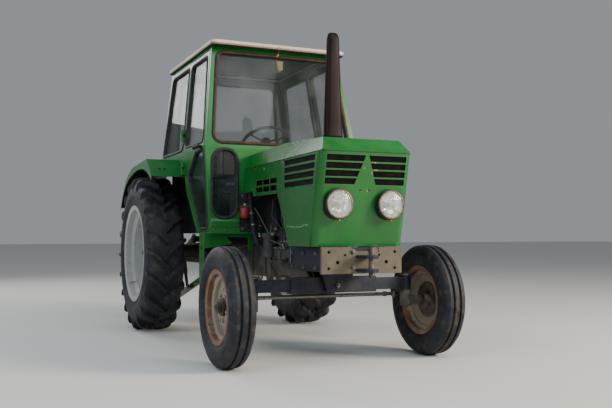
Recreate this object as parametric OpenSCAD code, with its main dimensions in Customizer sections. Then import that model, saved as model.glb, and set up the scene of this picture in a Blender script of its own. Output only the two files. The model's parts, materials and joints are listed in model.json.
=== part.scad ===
// Vintage two-wheel-drive farm tractor with a glazed cab.
// Millimetres, +Z up, the tractor faces -Y and its left side is +X.
// Every length along the tractor is measured from the front axle, and
// placed() then puts the origin on the ground under the middle of the whole.

/* [Wheels] */
// Distance between the front and rear axles
wheelbase = 2135; // [1900:5:2400]
// Distance between the middles of the front tyres
front_track = 1420; // [1380:5:1500]
// Distance between the middles of the rear tyres
rear_track = 1390; // [1370:5:1480]
// Outer diameter of a front tyre
front_tyre_d = 735; // [680:5:760]
// Width of a front tyre
front_tyre_w = 165; // [140:1:175]
// Outer diameter of a rear tyre over its lugs
rear_tyre_d = 1290; // [1220:5:1310]
// Width of a rear tyre
rear_tyre_w = 315; // [280:1:325]
// How far the lugs stand out of a rear tyre
lug_h = 38; // [28:1:40]
// Width of a lug across its flanks
lug_w = 38; // [30:1:44]
// How far a lug's outer end trails its inner end
lug_lag = 122; // [90:1:130]
// Lugs on each side of a rear tyre
lug_count = 20; // [16:1:22]
// Wall of the tyre carcasses
tyre_wall = 22; // [16:1:28]
// Radius of a front rim over its flanges
front_flange_r = 230; // [215:1:240]
// Radius of a front rim where the tyre's bead sits
front_bead_r = 206; // [200:1:212]
// Radius of a rear rim over its flanges
rear_flange_r = 405; // [390:1:415]
// Radius of a rear rim where the tyre's bead sits
rear_bead_r = 372; // [360:1:385]
// Sheet of the rims
rim_sheet = 6; // [4:0.5:9]
// Radius of the front hubs
front_hub_r = 52; // [44:1:60]
// Radius of the rear axle shafts
rear_shaft_r = 40; // [32:1:44]
// Running clearance of shafts and pins, on the radius
run_clear = 0.05; // [0.02:0.01:0.09]

/* [Front axle] */
// Height of the front axle beam
beam_h = 100; // [80:1:110]
// Depth of the front axle beam
beam_d = 84; // [70:1:100]
// Middle of the front axle beam above the ground
beam_z = 485; // [478:1:492]
// Half length of the axle beam's middle section
beam_mid_x = 300; // [250:5:360]
// Distance of each kingpin from the middle
kingpin_x = 542; // [530:1:550]
// Radius of the kingpins
kingpin_r = 20; // [16:1:24]
// Radius of the kingpin sleeves
sleeve_r = 38; // [32:1:42]
// Radius of the wheel spindles
spindle_r = 24; // [18:1:28]
// Length of the steering arms behind the kingpins
arm_l = 150; // [120:5:180]
// Height of the tie rod
tie_z = 402; // [398:1:406]
// Radius of the tie rod
tie_r = 13; // [10:1:16]
// Radius of the tie rod's end pins
tie_pin_r = 9; // [7:0.5:11]
// Clearance on the radius of the tie rod's right-hand pin
tie_slack = 0.6; // [0.3:0.1:1]

/* [Hood] */
// Half width of the hood
hood_x = 305; // [280:1:325]
// Sheet of the hood
hood_sheet = 3; // [2:0.5:5]
// Nose bottom, ahead of the front axle
nose_bottom_y = -372; // [-400:1:-340]
// Nose top seam, ahead of the front axle
nose_seam_y = -495; // [-520:1:-450]
// Height of the hood's lower edge
hood_bottom_z = 734; // [726:1:760]
// Height of the top seam at the nose
seam_z = 1291; // [1280:1:1310]
// Drop of the seam from nose to cab
seam_drop = 13; // [0:1:24]
// Height of the hood's top at the nose
hood_front_z = 1377; // [1365:1:1390]
// Height of the hood's crown
hood_crown_z = 1405; // [1395:1:1415]
// Height of the hood's top at the cab
hood_rear_z = 1385; // [1375:1:1395]
// Half width of the flat top of the hood
hood_flat_x = 228; // [200:1:250]
// Setback of the top's front edge behind the seam
top_setback = 80; // [50:1:110]
// Radius of the nose's upright corners
nose_r = 48; // [30:1:60]
// Depth of the nose panel's side returns
nose_return = 58; // [52:1:80]
// Where the hood's sides end and the cowl begins
cowl_y = 650; // [610:1:700]
// Height of the cowl's lower edge
cowl_z = 1107; // [1080:1:1140]
// Lower edge of the strip with the small vents
strip_z = 1072; // [1050:1:1085]

/* [Grilles] */
// Height of the front grille's lowest edge
grille_z = 1100; // [1085:1:1110]
// Height of a front grille slot
grille_slot_h = 35; // [26:1:37]
// Bar between front grille slots
grille_bar = 10; // [6:1:14]
// Rows of slots in the grilles
grille_rows = 4; // [3:1:4]
// Outer end of the front slots, from the middle
grille_out_x = 264; // [240:1:275]
// Inner end of the lowest front slot, from the middle
grille_in_low_x = 70; // [50:1:90]
// Inner end of the highest front slot, from the middle
grille_in_top_x = 10; // [6:1:30]
// Rear end of the side grille
side_grille_y = 62; // [20:1:90]
// Lowest edge of the side grille
side_grille_z = 1100; // [1090:1:1110]
// Height of a side grille slot
side_slot_h = 34; // [24:1:35]
// Bar between side grille slots
side_bar = 13; // [8:1:16]
// Front end of the small vents
vent_y = 186; // [170:1:210]
// Length of a small vent
vent_l = 121; // [90:1:128]
// Height of a small vent
vent_h = 35; // [24:1:40]
// Bar between the small vents
vent_bar = 13; // [8:1:18]
// Lowest edge of the small vents
vent_z = 1094; // [1088:1:1104]

/* [Headlamps] */
// Distance of each headlamp from the middle
lamp_x = 171; // [150:1:190]
// Height of the headlamps
lamp_z = 983; // [960:1:1000]
// Radius of the headlamp bowls
lamp_r = 90; // [75:1:96]
// How far the bowls stand out of the nose at their middle
lamp_out = 42; // [24:1:60]
// Radius of the lenses
lens_r = 83; // [65:1:84]

/* [Exhaust] */
// Exhaust's distance to the left of the middle
exhaust_x = 48; // [0:1:90]
// Exhaust's distance behind the front axle
exhaust_y = 84; // [40:1:120]
// Height of the exhaust's top
exhaust_top_z = 2135; // [1900:5:2180]
// Length of the silencer's oval at its foot, across the tractor
exhaust_l = 135; // [110:1:170]
// Width of the silencer's oval
exhaust_w = 72; // [55:1:90]
// Radius of the exhaust pipe
pipe_r = 26; // [20:1:30]
// Height of the pipe's elbow under the hood
elbow_z = 1205; // [1195:1:1230]

/* [Front plate] */
// Half width of the front plate
plate_x = 268; // [240:1:290]
// Height of the front plate
plate_h = 158; // [140:1:160]
// Thickness of the front plate
plate_t = 20; // [12:1:28]
// Radius of the holes in the front plate
plate_hole_r = 9; // [6:0.5:11]
// Sideways spacing of the plate's mounting holes
plate_hole_dx = 440; // [380:5:450]
// Upright spacing of the plate's mounting holes
plate_hole_dz = 96; // [80:1:104]
// Distance from the plate's top to the upper holes
plate_hole_top = 30; // [22:1:36]
// How far the tow jaw stands out of the plate
jaw_l = 150; // [110:5:170]
// Height of the gap in the tow jaw
jaw_gap = 62; // [40:1:70]
// Thickness of the tow jaw's ears
jaw_t = 18; // [12:1:22]
// Radius of the tow jaw's bore
jaw_bore_r = 14; // [10:1:17]

/* [Engine and gearbox] */
// Front end of the crankcase
engine_y = 90; // [86:1:110]
// Rear end of the crankcase
engine_end_y = 640; // [620:1:660]
// Half width of the crankcase
crank_x = 165; // [140:1:180]
// Top of the crankcase
crank_z = 830; // [800:1:850]
// Bottom of the crankcase
sump_z = 520; // [500:1:540]
// Height of the cylinders
barrel_h = 210; // [180:1:220]
// Radius of the cylinders' fins
fin_r = 84; // [75:1:86]
// Radius of the cylinders between their fins
barrel_r = 62; // [55:1:66]
// Thickness of a fin
fin_t = 5; // [3:0.5:7]
// Distance from fin to fin
fin_pitch = 15; // [12:1:20]
// Distance from cylinder to cylinder
bore_pitch = 176; // [172:1:180]
// Radius of the cooling blower
blower_r = 165; // [140:1:180]
// Guide vanes in the blower's inlet
vanes = 11; // [7:1:13]
// Radius of the crankshaft's belt pulley
pulley_r = 72; // [60:1:76]
// Width of the fuel tank under the cowl
tank_w = 420; // [300:5:500]
// Half width of the gearbox
gearbox_x = 150; // [120:1:170]
// Top of the gearbox
gearbox_z = 785; // [760:1:800]
// Radius of the rear axle tubes
axle_tube_r = 82; // [65:1:95]
// Outer end of the rear axle tubes
axle_tube_x = 512; // [495:1:516]

/* [Cab] */
// Front face of the cab below its waist
cab_y = 821; // [800:1:850]
// Rear face of the cab
cab_end_y = 2141; // [2100:1:2170]
// Height of the cab's floor
floor_z = 813; // [805:1:830]
// Height of the cab's waist
waist_z = 1434; // [1424:1:1444]
// Top of the cab's frame
frame_z = 2200; // [2150:1:2230]
// Half width of the cab at its floor
cab_floor_x = 561; // [552:1:580]
// Half width of the cab at its waist
cab_waist_x = 600; // [590:1:615]
// Half width of the cab at the top of its frame
cab_top_x = 512; // [500:1:530]
// How far the windscreen leans back over the frame's height
screen_lean = 152; // [120:1:180]
// Thickness of the front and rear frames
end_t = 28; // [22:1:36]
// Thickness of the side frames and doors
side_t = 30; // [24:1:34]
// Skin of the cab's lower panels
skin_t = 3; // [2:0.5:5]
// Gap around the doors
door_gap = 6; // [4:0.5:8]
// Gap ahead of the doors, which their leaning front edge needs to swing out
door_front_gap = 12; // [10:0.5:16]
// Width of the rubber round the windows
seal_w = 14; // [9:1:18]
// Thickness of the window rubber
seal_t = 16; // [10:1:18]
// Top of the windscreen's opening under the top of the frame
window_head = 46; // [36:1:60]
// Sill of the windscreen's opening above the waist
window_sill = 32; // [26:1:46]
// Side margin of the windscreen's opening
screen_margin = 52; // [46:1:70]
// Thickness of the glass
glass_t = 6; // [4:0.5:8]
// Thickness of the roof
roof_t = 32; // [26:1:44]
// How far the roof's drip edge hangs below it
drip_h = 9; // [6:1:14]
// Front edge of the roof
roof_y = 884; // [860:1:930]
// Half width of the roof
roof_x = 538; // [530:1:560]

/* [Doors] */
// Rear edge of the doors at their top
door_top_y = 1497; // [1470:1:1510]
// Rear edge of the doors at the waist
door_waist_y = 1420; // [1405:1:1430]
// Rear edge of the doors at their foot
door_foot_y = 1139; // [1100:1:1160]
// Height of the doors' foot
door_foot_z = 832; // [828:1:842]
// Distance of the hinge pins outside the waist
hinge_out = 12; // [9:1:16]
// Height of the lower door hinge
hinge_low_z = 1300; // [1240:5:1320]
// Height of the upper door hinge
hinge_top_z = 1560; // [1520:5:1590]
// Length of a hinge's barrel
barrel_l = 30; // [20:1:36]
// Radius of the door hinge pins
hinge_r = 5; // [4:0.5:6]

/* [Fenders] */
// Outer edge of the fenders, from the middle
fender_x = 850; // [835:1:860]
// Sheet of the fenders
fender_sheet = 4; // [3:0.5:6]
// Inner wall of the fenders, from the middle
wheelhouse_x = 509; // [500:1:512]
// Gap between a rear tyre and the arch of its fender's lip
arch_gap = 16; // [12:1:24]
// Height of the fenders' lip over the rear of the tyre
lip_h = 48; // [30:1:60]
// Height of the steps
step_z = 440; // [400:5:470]

/* [Seat and controls] */
// Width of the seat
seat_w = 460; // [400:5:500]
// Depth of the seat cushion
seat_d = 420; // [380:5:450]
// Height of the seat cushion's top
seat_z = 1270; // [1230:5:1300]
// Radius of the steering wheel
wheel_r = 195; // [180:1:220]
// Radius of the steering wheel's rim
rim_r = 13; // [10:1:16]
// Lean of the steering column
column_lean = 32; // [25:1:40]

/* [Hitch] */
// Distance of the lower links from the middle at their front
link_in_x = 262; // [250:1:275]
// Distance of the lower links from the middle at their eyes
link_out_x = 342; // [330:1:352]
// Length of the lower links between pivot and eye
link_l = 800; // [700:5:820]
// Droop of the lower links at rest
link_droop = 17.5; // [12:0.5:20]
// Height of the lower links' pivots
link_z = 425; // [410:1:440]
// Height of the lift arms' shaft
lift_z = 765; // [740:1:780]
// Lift arms' shaft behind the rear axle
lift_back = 85; // [70:1:110]
// Radius of the lift arms' shaft
lift_shaft_r = 26; // [20:1:30]
// Radius of the lift rods' pins
rod_pin_r = 10; // [8:0.5:13]
// Radius of the top link's bore
top_link_r = 9.7; // [8:0.1:13]
// Length of the lift arms, and of the links up to their rods
lift_l = 290; // [260:5:320]
// Radius of the lower links' eyes
link_eye_r = 11.2; // [9:0.1:14]
// Radius of the trailer hitch's bore
hitch_bore_r = 16; // [12:1:19]
// Radius of the power take-off shaft
pto_r = 17.4; // [14:0.1:20]

/* [Hidden] */
$fn = 48;
eps = 0.01;
arc_steps = 6;
seat_gap = 0.3;
move_gap = 6;

front_wheel_z = front_tyre_d / 2;
rear_wheel_z = rear_tyre_d / 2;
front_wheel_x = front_track / 2;
rear_wheel_x = rear_track / 2;

nose_lean = atan((nose_bottom_y - nose_seam_y) / (seam_z - hood_bottom_z));
seam_slope = seam_drop / (cab_y - nose_seam_y);
plate_top_z = hood_bottom_z - 2;
plate_y = nose_bottom_y - 46;
jaw_y = plate_y - jaw_l;

screen_slope = screen_lean / (frame_z - waist_z);
side_up_slope = (cab_waist_x - cab_top_x) / (frame_z - waist_z);
side_low_slope = (cab_waist_x - cab_floor_x) / (waist_z - floor_z);
door_y = cab_y + end_t + door_front_gap;
hinge_x = cab_waist_x + hinge_out;
hinge_y = door_waist_y + 4;

link_y = wheelbase - 95;
lift_y = wheelbase + lift_back;
link_eye_y = link_y + link_l * cos(link_droop);
link_eye_z = link_z - link_l * sin(link_droop);
link_eye_out_r = link_eye_r + 20;
link_toe = asin((link_out_x - link_in_x) / link_l);
tail_y = link_eye_y + link_eye_out_r;
y_mid = (jaw_y + tail_y) / 2;

arch_r = rear_wheel_z + arch_gap;
// Point at radius r and angle a behind the top of the rear wheel: [along, height]
function over_wheel(r, a) = [wheelbase + r * sin(a), rear_wheel_z + r * cos(a)];
// Top line of the fenders and the arch of their lips: [along, height]
fender_line = concat([[1425, 1255], [1605, 1400], [2170, 1371]],
    [for (k = [0:3]) over_wheel(arch_r + lip_h * (1 - 0.3 * k), 17 + 12 * k)]);
lip_line = concat([[1452, 1222], [1525, 1268], [1612, 1300], [1720, 1326], [1841, 1337], [1960, 1335], [2080, 1324]],
    [for (a = [13:6:55]) over_wheel(arch_r, a)]);
head_z = frame_z - window_head;
sill_z = waist_z + window_sill;
door_top_z = frame_z - 35;
door_bend_z = waist_z - 48;
seat_y = cab_end_y - 121;

// Height of the fenders' flat top at length y
function fender_z(y) = fender_line[1][1] + (y - fender_line[1][0])
    * (fender_line[2][1] - fender_line[1][1]) / (fender_line[2][0] - fender_line[1][0]);
// Rear edge of the doors at height z
function door_edge(z) = z > waist_z ? door_waist_y + (z - waist_z) * (door_top_y - door_waist_y)
    / (door_top_z - waist_z) : door_waist_y - max(0, door_bend_z - z) * 37 / 237;

// Half width of the cab's outside at height z
function side_x(z) = z > waist_z ? cab_waist_x - (z - waist_z) * side_up_slope
    : cab_waist_x - (waist_z - z) * side_low_slope;
// Front face of the cab at height z
function screen_y(z) = cab_y + max(0, z - waist_z) * screen_slope;
// Face of the nose at height z
function nose_y(z) = nose_bottom_y + (nose_seam_y - nose_bottom_y) * (z - hood_bottom_z)
    / (seam_z - hood_bottom_z);
// Height of the top seam at length y
function seam_at(y) = seam_z - (y - nose_seam_y) * seam_slope;
function unit(v) = v / norm(v);
// Point of the straight line from a to b, a distance d from a
function along(a, b, d) = a + unit(b - a) * d;
// Upward normal of an open line at its point i
function line_normal(p, i) = let (e = unit(p[min(len(p) - 1, i + 1)] - p[max(0, i - 1)])) [-e[1], e[0]];
// Corners of a convex outline moved inwards by d, the outline running clockwise or not
function edge_normal(p, i, s) = let (e = unit(p[(i + 1) % len(p)] - p[i])) s * [-e[1], e[0]];
function turn(p) = let (a = p[1] - p[0], b = p[2] - p[1]) sign(a[0] * b[1] - a[1] * b[0]);
function inset(p, d) = let (s = turn(p), n = len(p)) [for (i = [0:n - 1])
    let (n1 = edge_normal(p, (i + n - 1) % n, s), n2 = edge_normal(p, i, s))
    p[i] + (n1 + n2) * d / (1 + n1 * n2)];

module placed() translate([0, -y_mid, 0]) children();
module both() {
    children();
    mirror([1, 0, 0]) children();
}
// Outline in (y, z) made solid from x0 to x1
module yz(x0, x1) translate([x0, 0, 0]) rotate([90, 0, 90]) linear_extrude(x1 - x0) children();
// Outline in (x, z) made solid from y0 to y1
module xz(y0, y1) translate([0, y1, 0]) rotate([90, 0, 0]) linear_extrude(y1 - y0) children();
// Box from its low corner to its high corner
module block(a, b) translate(a) cube(b - a);
// Shaft along X, Y or Z from a point
module rod_x(p, r, l) translate(p) rotate([0, 90, 0]) cylinder(r = r, h = l);
module rod_y(p, r, l) translate(p) rotate([-90, 0, 0]) cylinder(r = r, h = l);
module rod_z(p, r, l) translate(p) cylinder(r = r, h = l);
// Round bar between two points
module bar(a, b, r) {
    v = b - a;
    translate(a) rotate([0, acos(v[2] / norm(v)), atan2(v[1], v[0])]) cylinder(r = r, h = norm(v));
}
// Corner of a convex outline as an arc of points
function corner(a, p, b, r) = let (u = unit(a - p), v = unit(b - p), half = acos(u * v) / 2,
    c = p + unit(u + v) * r / sin(half), n1 = (p + u * r / tan(half) - c) / r,
    n2 = (p + v * r / tan(half) - c) / r, w = 180 - 2 * half)
    [for (k = [0:arc_steps]) c + r * (n1 * sin(w * (1 - k / arc_steps)) + n2 * sin(w * k / arc_steps)) / sin(w)];
// Convex outline with round corners
function round_off(p, r) = let (n = len(p)) [for (i = [0:n - 1])
    each corner(p[(i + n - 1) % n], p[i], p[(i + 1) % n], r)];
module rounded(p, r) polygon(round_off(p, r));

// Hood
// Plan of the nose in its leaning frame, grown inwards by d
module nose_plan(d, back) difference() {
    union() {
        translate([-hood_x + nose_r, d]) square([2 * (hood_x - nose_r), back]);
        translate([-hood_x + d, nose_r]) square([2 * (hood_x - d), back]);
        for (s = [-1, 1]) translate([s * (hood_x - nose_r), nose_r]) circle(nose_r - d);
    }
    translate([-hood_x, back]) square([2 * hood_x, 2 * back]);
}
module nose_frame() translate([0, nose_bottom_y, hood_bottom_z]) rotate([nose_lean, 0, 0]) children();
// Everything below the top seam, ahead of y1 and above z0
module under_seam(z0, y1) yz(-400, 400) polygon([[-700, z0], [-700, seam_at(-700)],
    [y1, seam_at(y1)], [y1, z0]]);
module hood_section(d) {
    x1 = hood_x - d;
    x2 = hood_flat_x - d * 0.6;
    polygon([[-x1, 1150], [-x1, seam_z - seam_drop - d * 0.5], [-x2, hood_crown_z + 20 - d],
        [x2, hood_crown_z + 20 - d], [x1, seam_z - seam_drop - d * 0.5], [x1, 1150]]);
}
module hood_profile(d) polygon([[nose_seam_y + d, 1150], [nose_seam_y + d, seam_z - d * 0.3],
    [nose_seam_y + top_setback + d * 0.4, hood_front_z - d], [200, hood_crown_z - d],
    [cab_y, hood_rear_z - d], [cab_y, 1150]]);
module hood_form(d) intersection() {
    xz(nose_seam_y - 20, cab_y) hood_section(d);
    yz(-400, 400) hood_profile(d);
    nose_frame() translate([0, 0, -40]) linear_extrude(900) nose_plan(d, 1700);
}
module hood_top() color([0.10, 0.42, 0.20]) placed() difference() {
    hood_form(0);
    translate([0, eps, 0]) hood_form(hood_sheet);
    rod_z([exhaust_x, exhaust_y, 1300], pipe_r + 3, 200);
    yz(-400, 400) polygon([[-700, 1000], [-700, seam_at(-700)], [cab_y + 40, seam_at(cab_y + 40)],
        [cab_y + 40, 1000]]);
}
module front_slots() for (s = [0, 1]) mirror([s, 0, 0]) for (i = [0:grille_rows - 1]) {
    z0 = grille_z + i * (grille_slot_h + grille_bar);
    z1 = z0 + grille_slot_h;
    top = grille_z + grille_rows * (grille_slot_h + grille_bar) - grille_bar;
    in0 = grille_in_low_x + (grille_in_top_x - grille_in_low_x) * (z0 - grille_z) / (top - grille_z);
    in1 = grille_in_low_x + (grille_in_top_x - grille_in_low_x) * (z1 - grille_z) / (top - grille_z);
    xz(nose_seam_y - 60, nose_seam_y + 140)
        polygon([[in0, z0], [grille_out_x, z0], [grille_out_x, z1], [in1, z1]]);
}
// Sheet of the nose, as wide as d from its outer face, up to a height in its leaning frame
module nose_sheet(d, top) intersection() {
    nose_frame() translate([0, 0, -40]) linear_extrude(top + 40) difference() {
        nose_plan(0, nose_return);
        nose_plan(d, nose_return * 2);
    }
    under_seam(hood_bottom_z, cab_y);
}
module nose_panel() color([0.08, 0.50, 0.12]) placed() difference() {
    union() {
        nose_sheet(hood_sheet, 660);
        nose_sheet(16, hood_sheet);
    }
    front_slots();
    for (s = [-1, 1]) rod_y([s * lamp_x, nose_y(lamp_z) - 60, lamp_z], lamp_r + seat_gap, 120);
}
side_dy = nose_return / cos(nose_lean);
module side_outline() polygon([[nose_y(hood_bottom_z) + side_dy, hood_bottom_z],
    [nose_y(seam_at(nose_seam_y + side_dy)) + side_dy, seam_at(nose_seam_y + side_dy)],
    [cowl_y, seam_at(cowl_y)], [cowl_y, strip_z], [vent_y, strip_z],
    [92, 914], [-6, hood_bottom_z]]);
module side_slots() {
    for (i = [0:grille_rows - 1]) {
        z0 = side_grille_z + i * (side_slot_h + side_bar);
        z1 = z0 + side_slot_h;
        polygon([[nose_y(z0) + side_dy + 14, z0], [side_grille_y, z0], [side_grille_y, z1],
            [nose_y(z1) + side_dy + 14, z1]]);
    }
    for (i = [0:2], j = [0:1]) translate([vent_y + 8 + i * (vent_l + vent_bar), vent_z + j * (vent_h + vent_bar)])
        square([vent_l, vent_h]);
}
module hood_sides() color([0.06, 0.36, 0.24]) placed() both()
    yz(hood_x - hood_sheet, hood_x) difference() {
        side_outline();
        side_slots();
    }
module cowl() color([0.06, 0.38, 0.22]) placed() both()
    yz(hood_x - hood_sheet, hood_x) polygon([[cowl_y, cowl_z], [cowl_y, seam_at(cowl_y)],
        [cab_y, seam_at(cab_y)], [cab_y, cowl_z]]);
module headlamp_bowls() color([0.05, 0.05, 0.05]) placed() for (s = [-1, 1]) {
    y0 = nose_y(lamp_z) - lamp_out;
    translate([s * lamp_x, y0, lamp_z]) rotate([-90, 0, 0]) rotate_extrude()
        polygon([[lens_r + seat_gap, 0], [lamp_r, 0], [lamp_r, 80], [50, 130], [0, 136],
            [0, 130], [47, 124], [lens_r + seat_gap, 74]]);
}
module headlamp_lenses() color([0.9, 0.92, 0.9]) placed() for (s = [-1, 1]) {
    y0 = nose_y(lamp_z) - lamp_out;
    translate([s * lamp_x, y0, lamp_z]) rotate([-90, 0, 0]) rotate_extrude()
        polygon([[0, -12], [30, -10.5], [58, -6], [lens_r, 1], [lens_r, 8], [58, 0], [30, -4.5], [0, -6]]);
}
module oval(l, w) {
    for (s = [-1, 1]) translate([s * (l - w) / 2, 0]) circle(d = w, $fn = 24);
    square([l - w, w], center = true);
}
module exhaust() color([0.08, 0.06, 0.06]) placed() translate([exhaust_x, exhaust_y, 0]) {
    foot = hood_crown_z;
    hull() {
        translate([0, 0, foot + 30]) linear_extrude(1) oval(exhaust_l, exhaust_w);
        translate([0, 0, exhaust_top_z - 50]) linear_extrude(1) oval(exhaust_l * 0.64, exhaust_w * 0.76);
        translate([0, 0, exhaust_top_z - 4]) linear_extrude(4) oval(exhaust_l * 0.45, exhaust_w * 0.55);
    }
    rod_z([0, 0, elbow_z + 30 + seat_gap], pipe_r, foot + 31 - elbow_z - 30 - seat_gap);
}

// Front end
module front_plate() color([0.45, 0.42, 0.36]) placed() {
    z1 = plate_top_z;
    z0 = z1 - plate_h;
    jz = z1 - 97;
    difference() {
        union() {
            block([-plate_x, plate_y, z0], [plate_x, plate_y + plate_t, z1]);
            for (s = [-1, 1]) translate([0, 0, jz + s * (jaw_gap + jaw_t) / 2 - jaw_t / 2]) {
                translate([0, jaw_y + 45, 0]) cylinder(r = 45, h = jaw_t);
                block([-45, jaw_y + 45, 0], [45, plate_y + eps, jaw_t]);
            }
        }
        for (sx = [-1, 1], k = [0, 1]) rod_y([sx * plate_hole_dx / 2, plate_y - 1,
            z1 - plate_hole_top - k * plate_hole_dz], plate_hole_r, plate_t + 2);
        for (sx = [-1, 1]) rod_y([sx * 162, plate_y - 1, z1 - 90], plate_hole_r + 2, plate_t + 2);
        for (sx = [-1, 1]) rod_y([sx * 114, plate_y - 1, z1 - 48], plate_hole_r - 2, plate_t + 2);
        rod_z([0, jaw_y + 45, z0 - 20], jaw_bore_r, plate_h + 40);
        xz(plate_y - 1, plate_y + plate_t + 1) polygon([[-74, z1 + 1], [74, z1 + 1], [54, z1 - 24], [-54, z1 - 24]]);
    }
}
module front_carrier() color([0.07, 0.09, 0.14]) placed() difference() {
    z1 = plate_top_z;
    z0 = z1 - plate_h + 12;
    union() {
        block([-plate_x + 4, plate_y + plate_t, z0], [plate_x - 4, engine_y, z1 - 2]);
        for (s = [-1, 1]) translate([0, s * (beam_d / 2 + 22), 0]) xz(-18, 18)
            polygon([[-70, beam_z - 40], [70, beam_z - 40], [120, z0 + 1], [-120, z0 + 1]]);
    }
    block([-plate_x + 34, plate_y + plate_t + 40, z0 + 30], [plate_x - 34, engine_y + 1, z1]);
    rod_y([0, -200, beam_z], 22, 400);
}
module front_axle_beam() color([0.05, 0.06, 0.10]) placed() difference() {
    z0 = beam_z - beam_h / 2;
    z1 = beam_z + beam_h / 2;
    union() {
        block([-beam_mid_x, -beam_d / 2, z0], [beam_mid_x, beam_d / 2, z1]);
        for (s = [-1, 1]) {
            translate([s * (beam_mid_x + kingpin_x) / 2, 0, beam_z])
                cube([kingpin_x - beam_mid_x + 2, beam_d - 24, beam_h - 24], center = true);
            rod_z([s * kingpin_x, 0, beam_z - 45], sleeve_r, 90);
        }
        rod_y([0, -beam_d / 2 - 44, beam_z], 22 - run_clear, beam_d + 88);
    }
    for (s = [-1, 1]) rod_z([s * kingpin_x, 0, z0 - 20], kingpin_r, beam_h + 40);
}
// Steering knuckle of the left side: kingpin, upright, arm and spindle
module knuckle(slack) {
    low = beam_z - 45 - 1;
    rod_z([kingpin_x, 0, front_wheel_z - 20], kingpin_r - run_clear, beam_z + 70 - front_wheel_z);
    rod_z([kingpin_x, 0, beam_z + 46], sleeve_r - 6, 14);
    rod_z([kingpin_x, 0, front_wheel_z - 36], 36, low - front_wheel_z + 36);
    rod_x([kingpin_x, 0, front_wheel_z], spindle_r + 8, front_wheel_x - kingpin_x - 50);
    rod_x([kingpin_x, 0, front_wheel_z], spindle_r, front_wheel_x + 26 - kingpin_x);
    difference() {
        union() {
            block([kingpin_x - 18, 0, tie_z + 16], [kingpin_x + 18, arm_l, low]);
            rod_z([kingpin_x, arm_l, tie_z + 16], 24, low - tie_z - 16);
        }
        rod_z([kingpin_x, arm_l, tie_z - 10], tie_pin_r + slack, 80);
    }
}
module knuckle_left() color([0.08, 0.09, 0.12]) placed() knuckle(run_clear);
module knuckle_right() color([0.08, 0.09, 0.12]) placed() mirror([1, 0, 0]) knuckle(tie_slack);
module tie_rod() color([0.12, 0.12, 0.13]) placed() {
    rod_x([-kingpin_x, arm_l, tie_z], tie_r, 2 * kingpin_x);
    for (s = [-1, 1]) {
        rod_z([s * kingpin_x, arm_l, tie_z - 15], 21, 30);
        rod_z([s * kingpin_x, arm_l, tie_z], tie_pin_r, beam_z - 48 - tie_z);
    }
}

// Wheels: each is drawn round the X axis, outer side towards +X
module front_rim() rotate([0, 90, 0]) difference() {
    w = 58;
    union() {
        rotate_extrude() polygon([[front_bead_r, -w], [front_flange_r, -w - rim_sheet],
            [front_flange_r, -w], [front_bead_r, -w + rim_sheet], [front_bead_r, -30], [182, -18],
            [182, 18], [front_bead_r, 30], [front_bead_r, w - rim_sheet], [front_flange_r, w],
            [front_flange_r, w + rim_sheet], [front_bead_r - rim_sheet, w],
            [front_bead_r - rim_sheet, 32], [176, 20], [176, -20], [front_bead_r - rim_sheet, -32],
            [front_bead_r - rim_sheet, -w]]);
        rotate_extrude() polygon([[40, 6], [120, 6], [150, -10], [178, -10], [178, -2], [154, -2],
            [124, 14], [40, 14]]);
        translate([0, 0, -46]) cylinder(r = front_hub_r, h = 80);
        translate([0, 0, 34]) cylinder(r = 34, h = 26);
        for (i = [0:4]) rotate([0, 0, i * 72]) translate([82, 0, 14 - eps]) cylinder(r = 12, h = 13, $fn = 6);
    }
    translate([0, 0, -60]) cylinder(r = spindle_r + run_clear, h = 60 + 26 + 1);
    for (i = [0:4]) rotate([0, 0, i * 72 + 36]) translate([106, 0, -20]) cylinder(r = 12, h = 60);
}
// Tyre carcass: half its section from bead to tread, drawn on the positive side
module carcass(bead_r, out_r, half_w, bead_w, crown, shoulder = 12) {
    mid = (bead_r + out_r) / 2;
    t = tyre_wall;
    outer = [[bead_r + seat_gap, bead_w], [bead_r + 26, bead_w + 4], [mid - 20, half_w],
        [mid + 25, half_w], [out_r - 26, half_w - shoulder], [out_r - 9, half_w - shoulder - 14],
        [out_r, half_w - crown]];
    inner = [[out_r - t, half_w - crown - t], [out_r - t - 22, half_w - t - 12], [mid, half_w - t],
        [bead_r + 36, bead_w - t * 0.6], [bead_r + seat_gap, bead_w - t]];
    rotate([0, 90, 0]) rotate_extrude() polygon(concat(outer,
        [for (i = [len(outer) - 1:-1:0]) [outer[i][0], -outer[i][1]]],
        [for (i = [len(inner) - 1:-1:0]) [inner[i][0], -inner[i][1]]], inner));
}
module front_tyre() difference() {
    carcass(front_bead_r, front_tyre_d / 2, front_tyre_w / 2, 58 - rim_sheet - 0.5, 40);
    for (s = [-1, 1]) rotate([0, 90, 0]) translate([0, 0, s * 22]) rotate_extrude()
        polygon([[front_tyre_d / 2 - 13, -5], [front_tyre_d / 2 + 5, -9], [front_tyre_d / 2 + 5, 9],
            [front_tyre_d / 2 - 13, 5]]);
}
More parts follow.
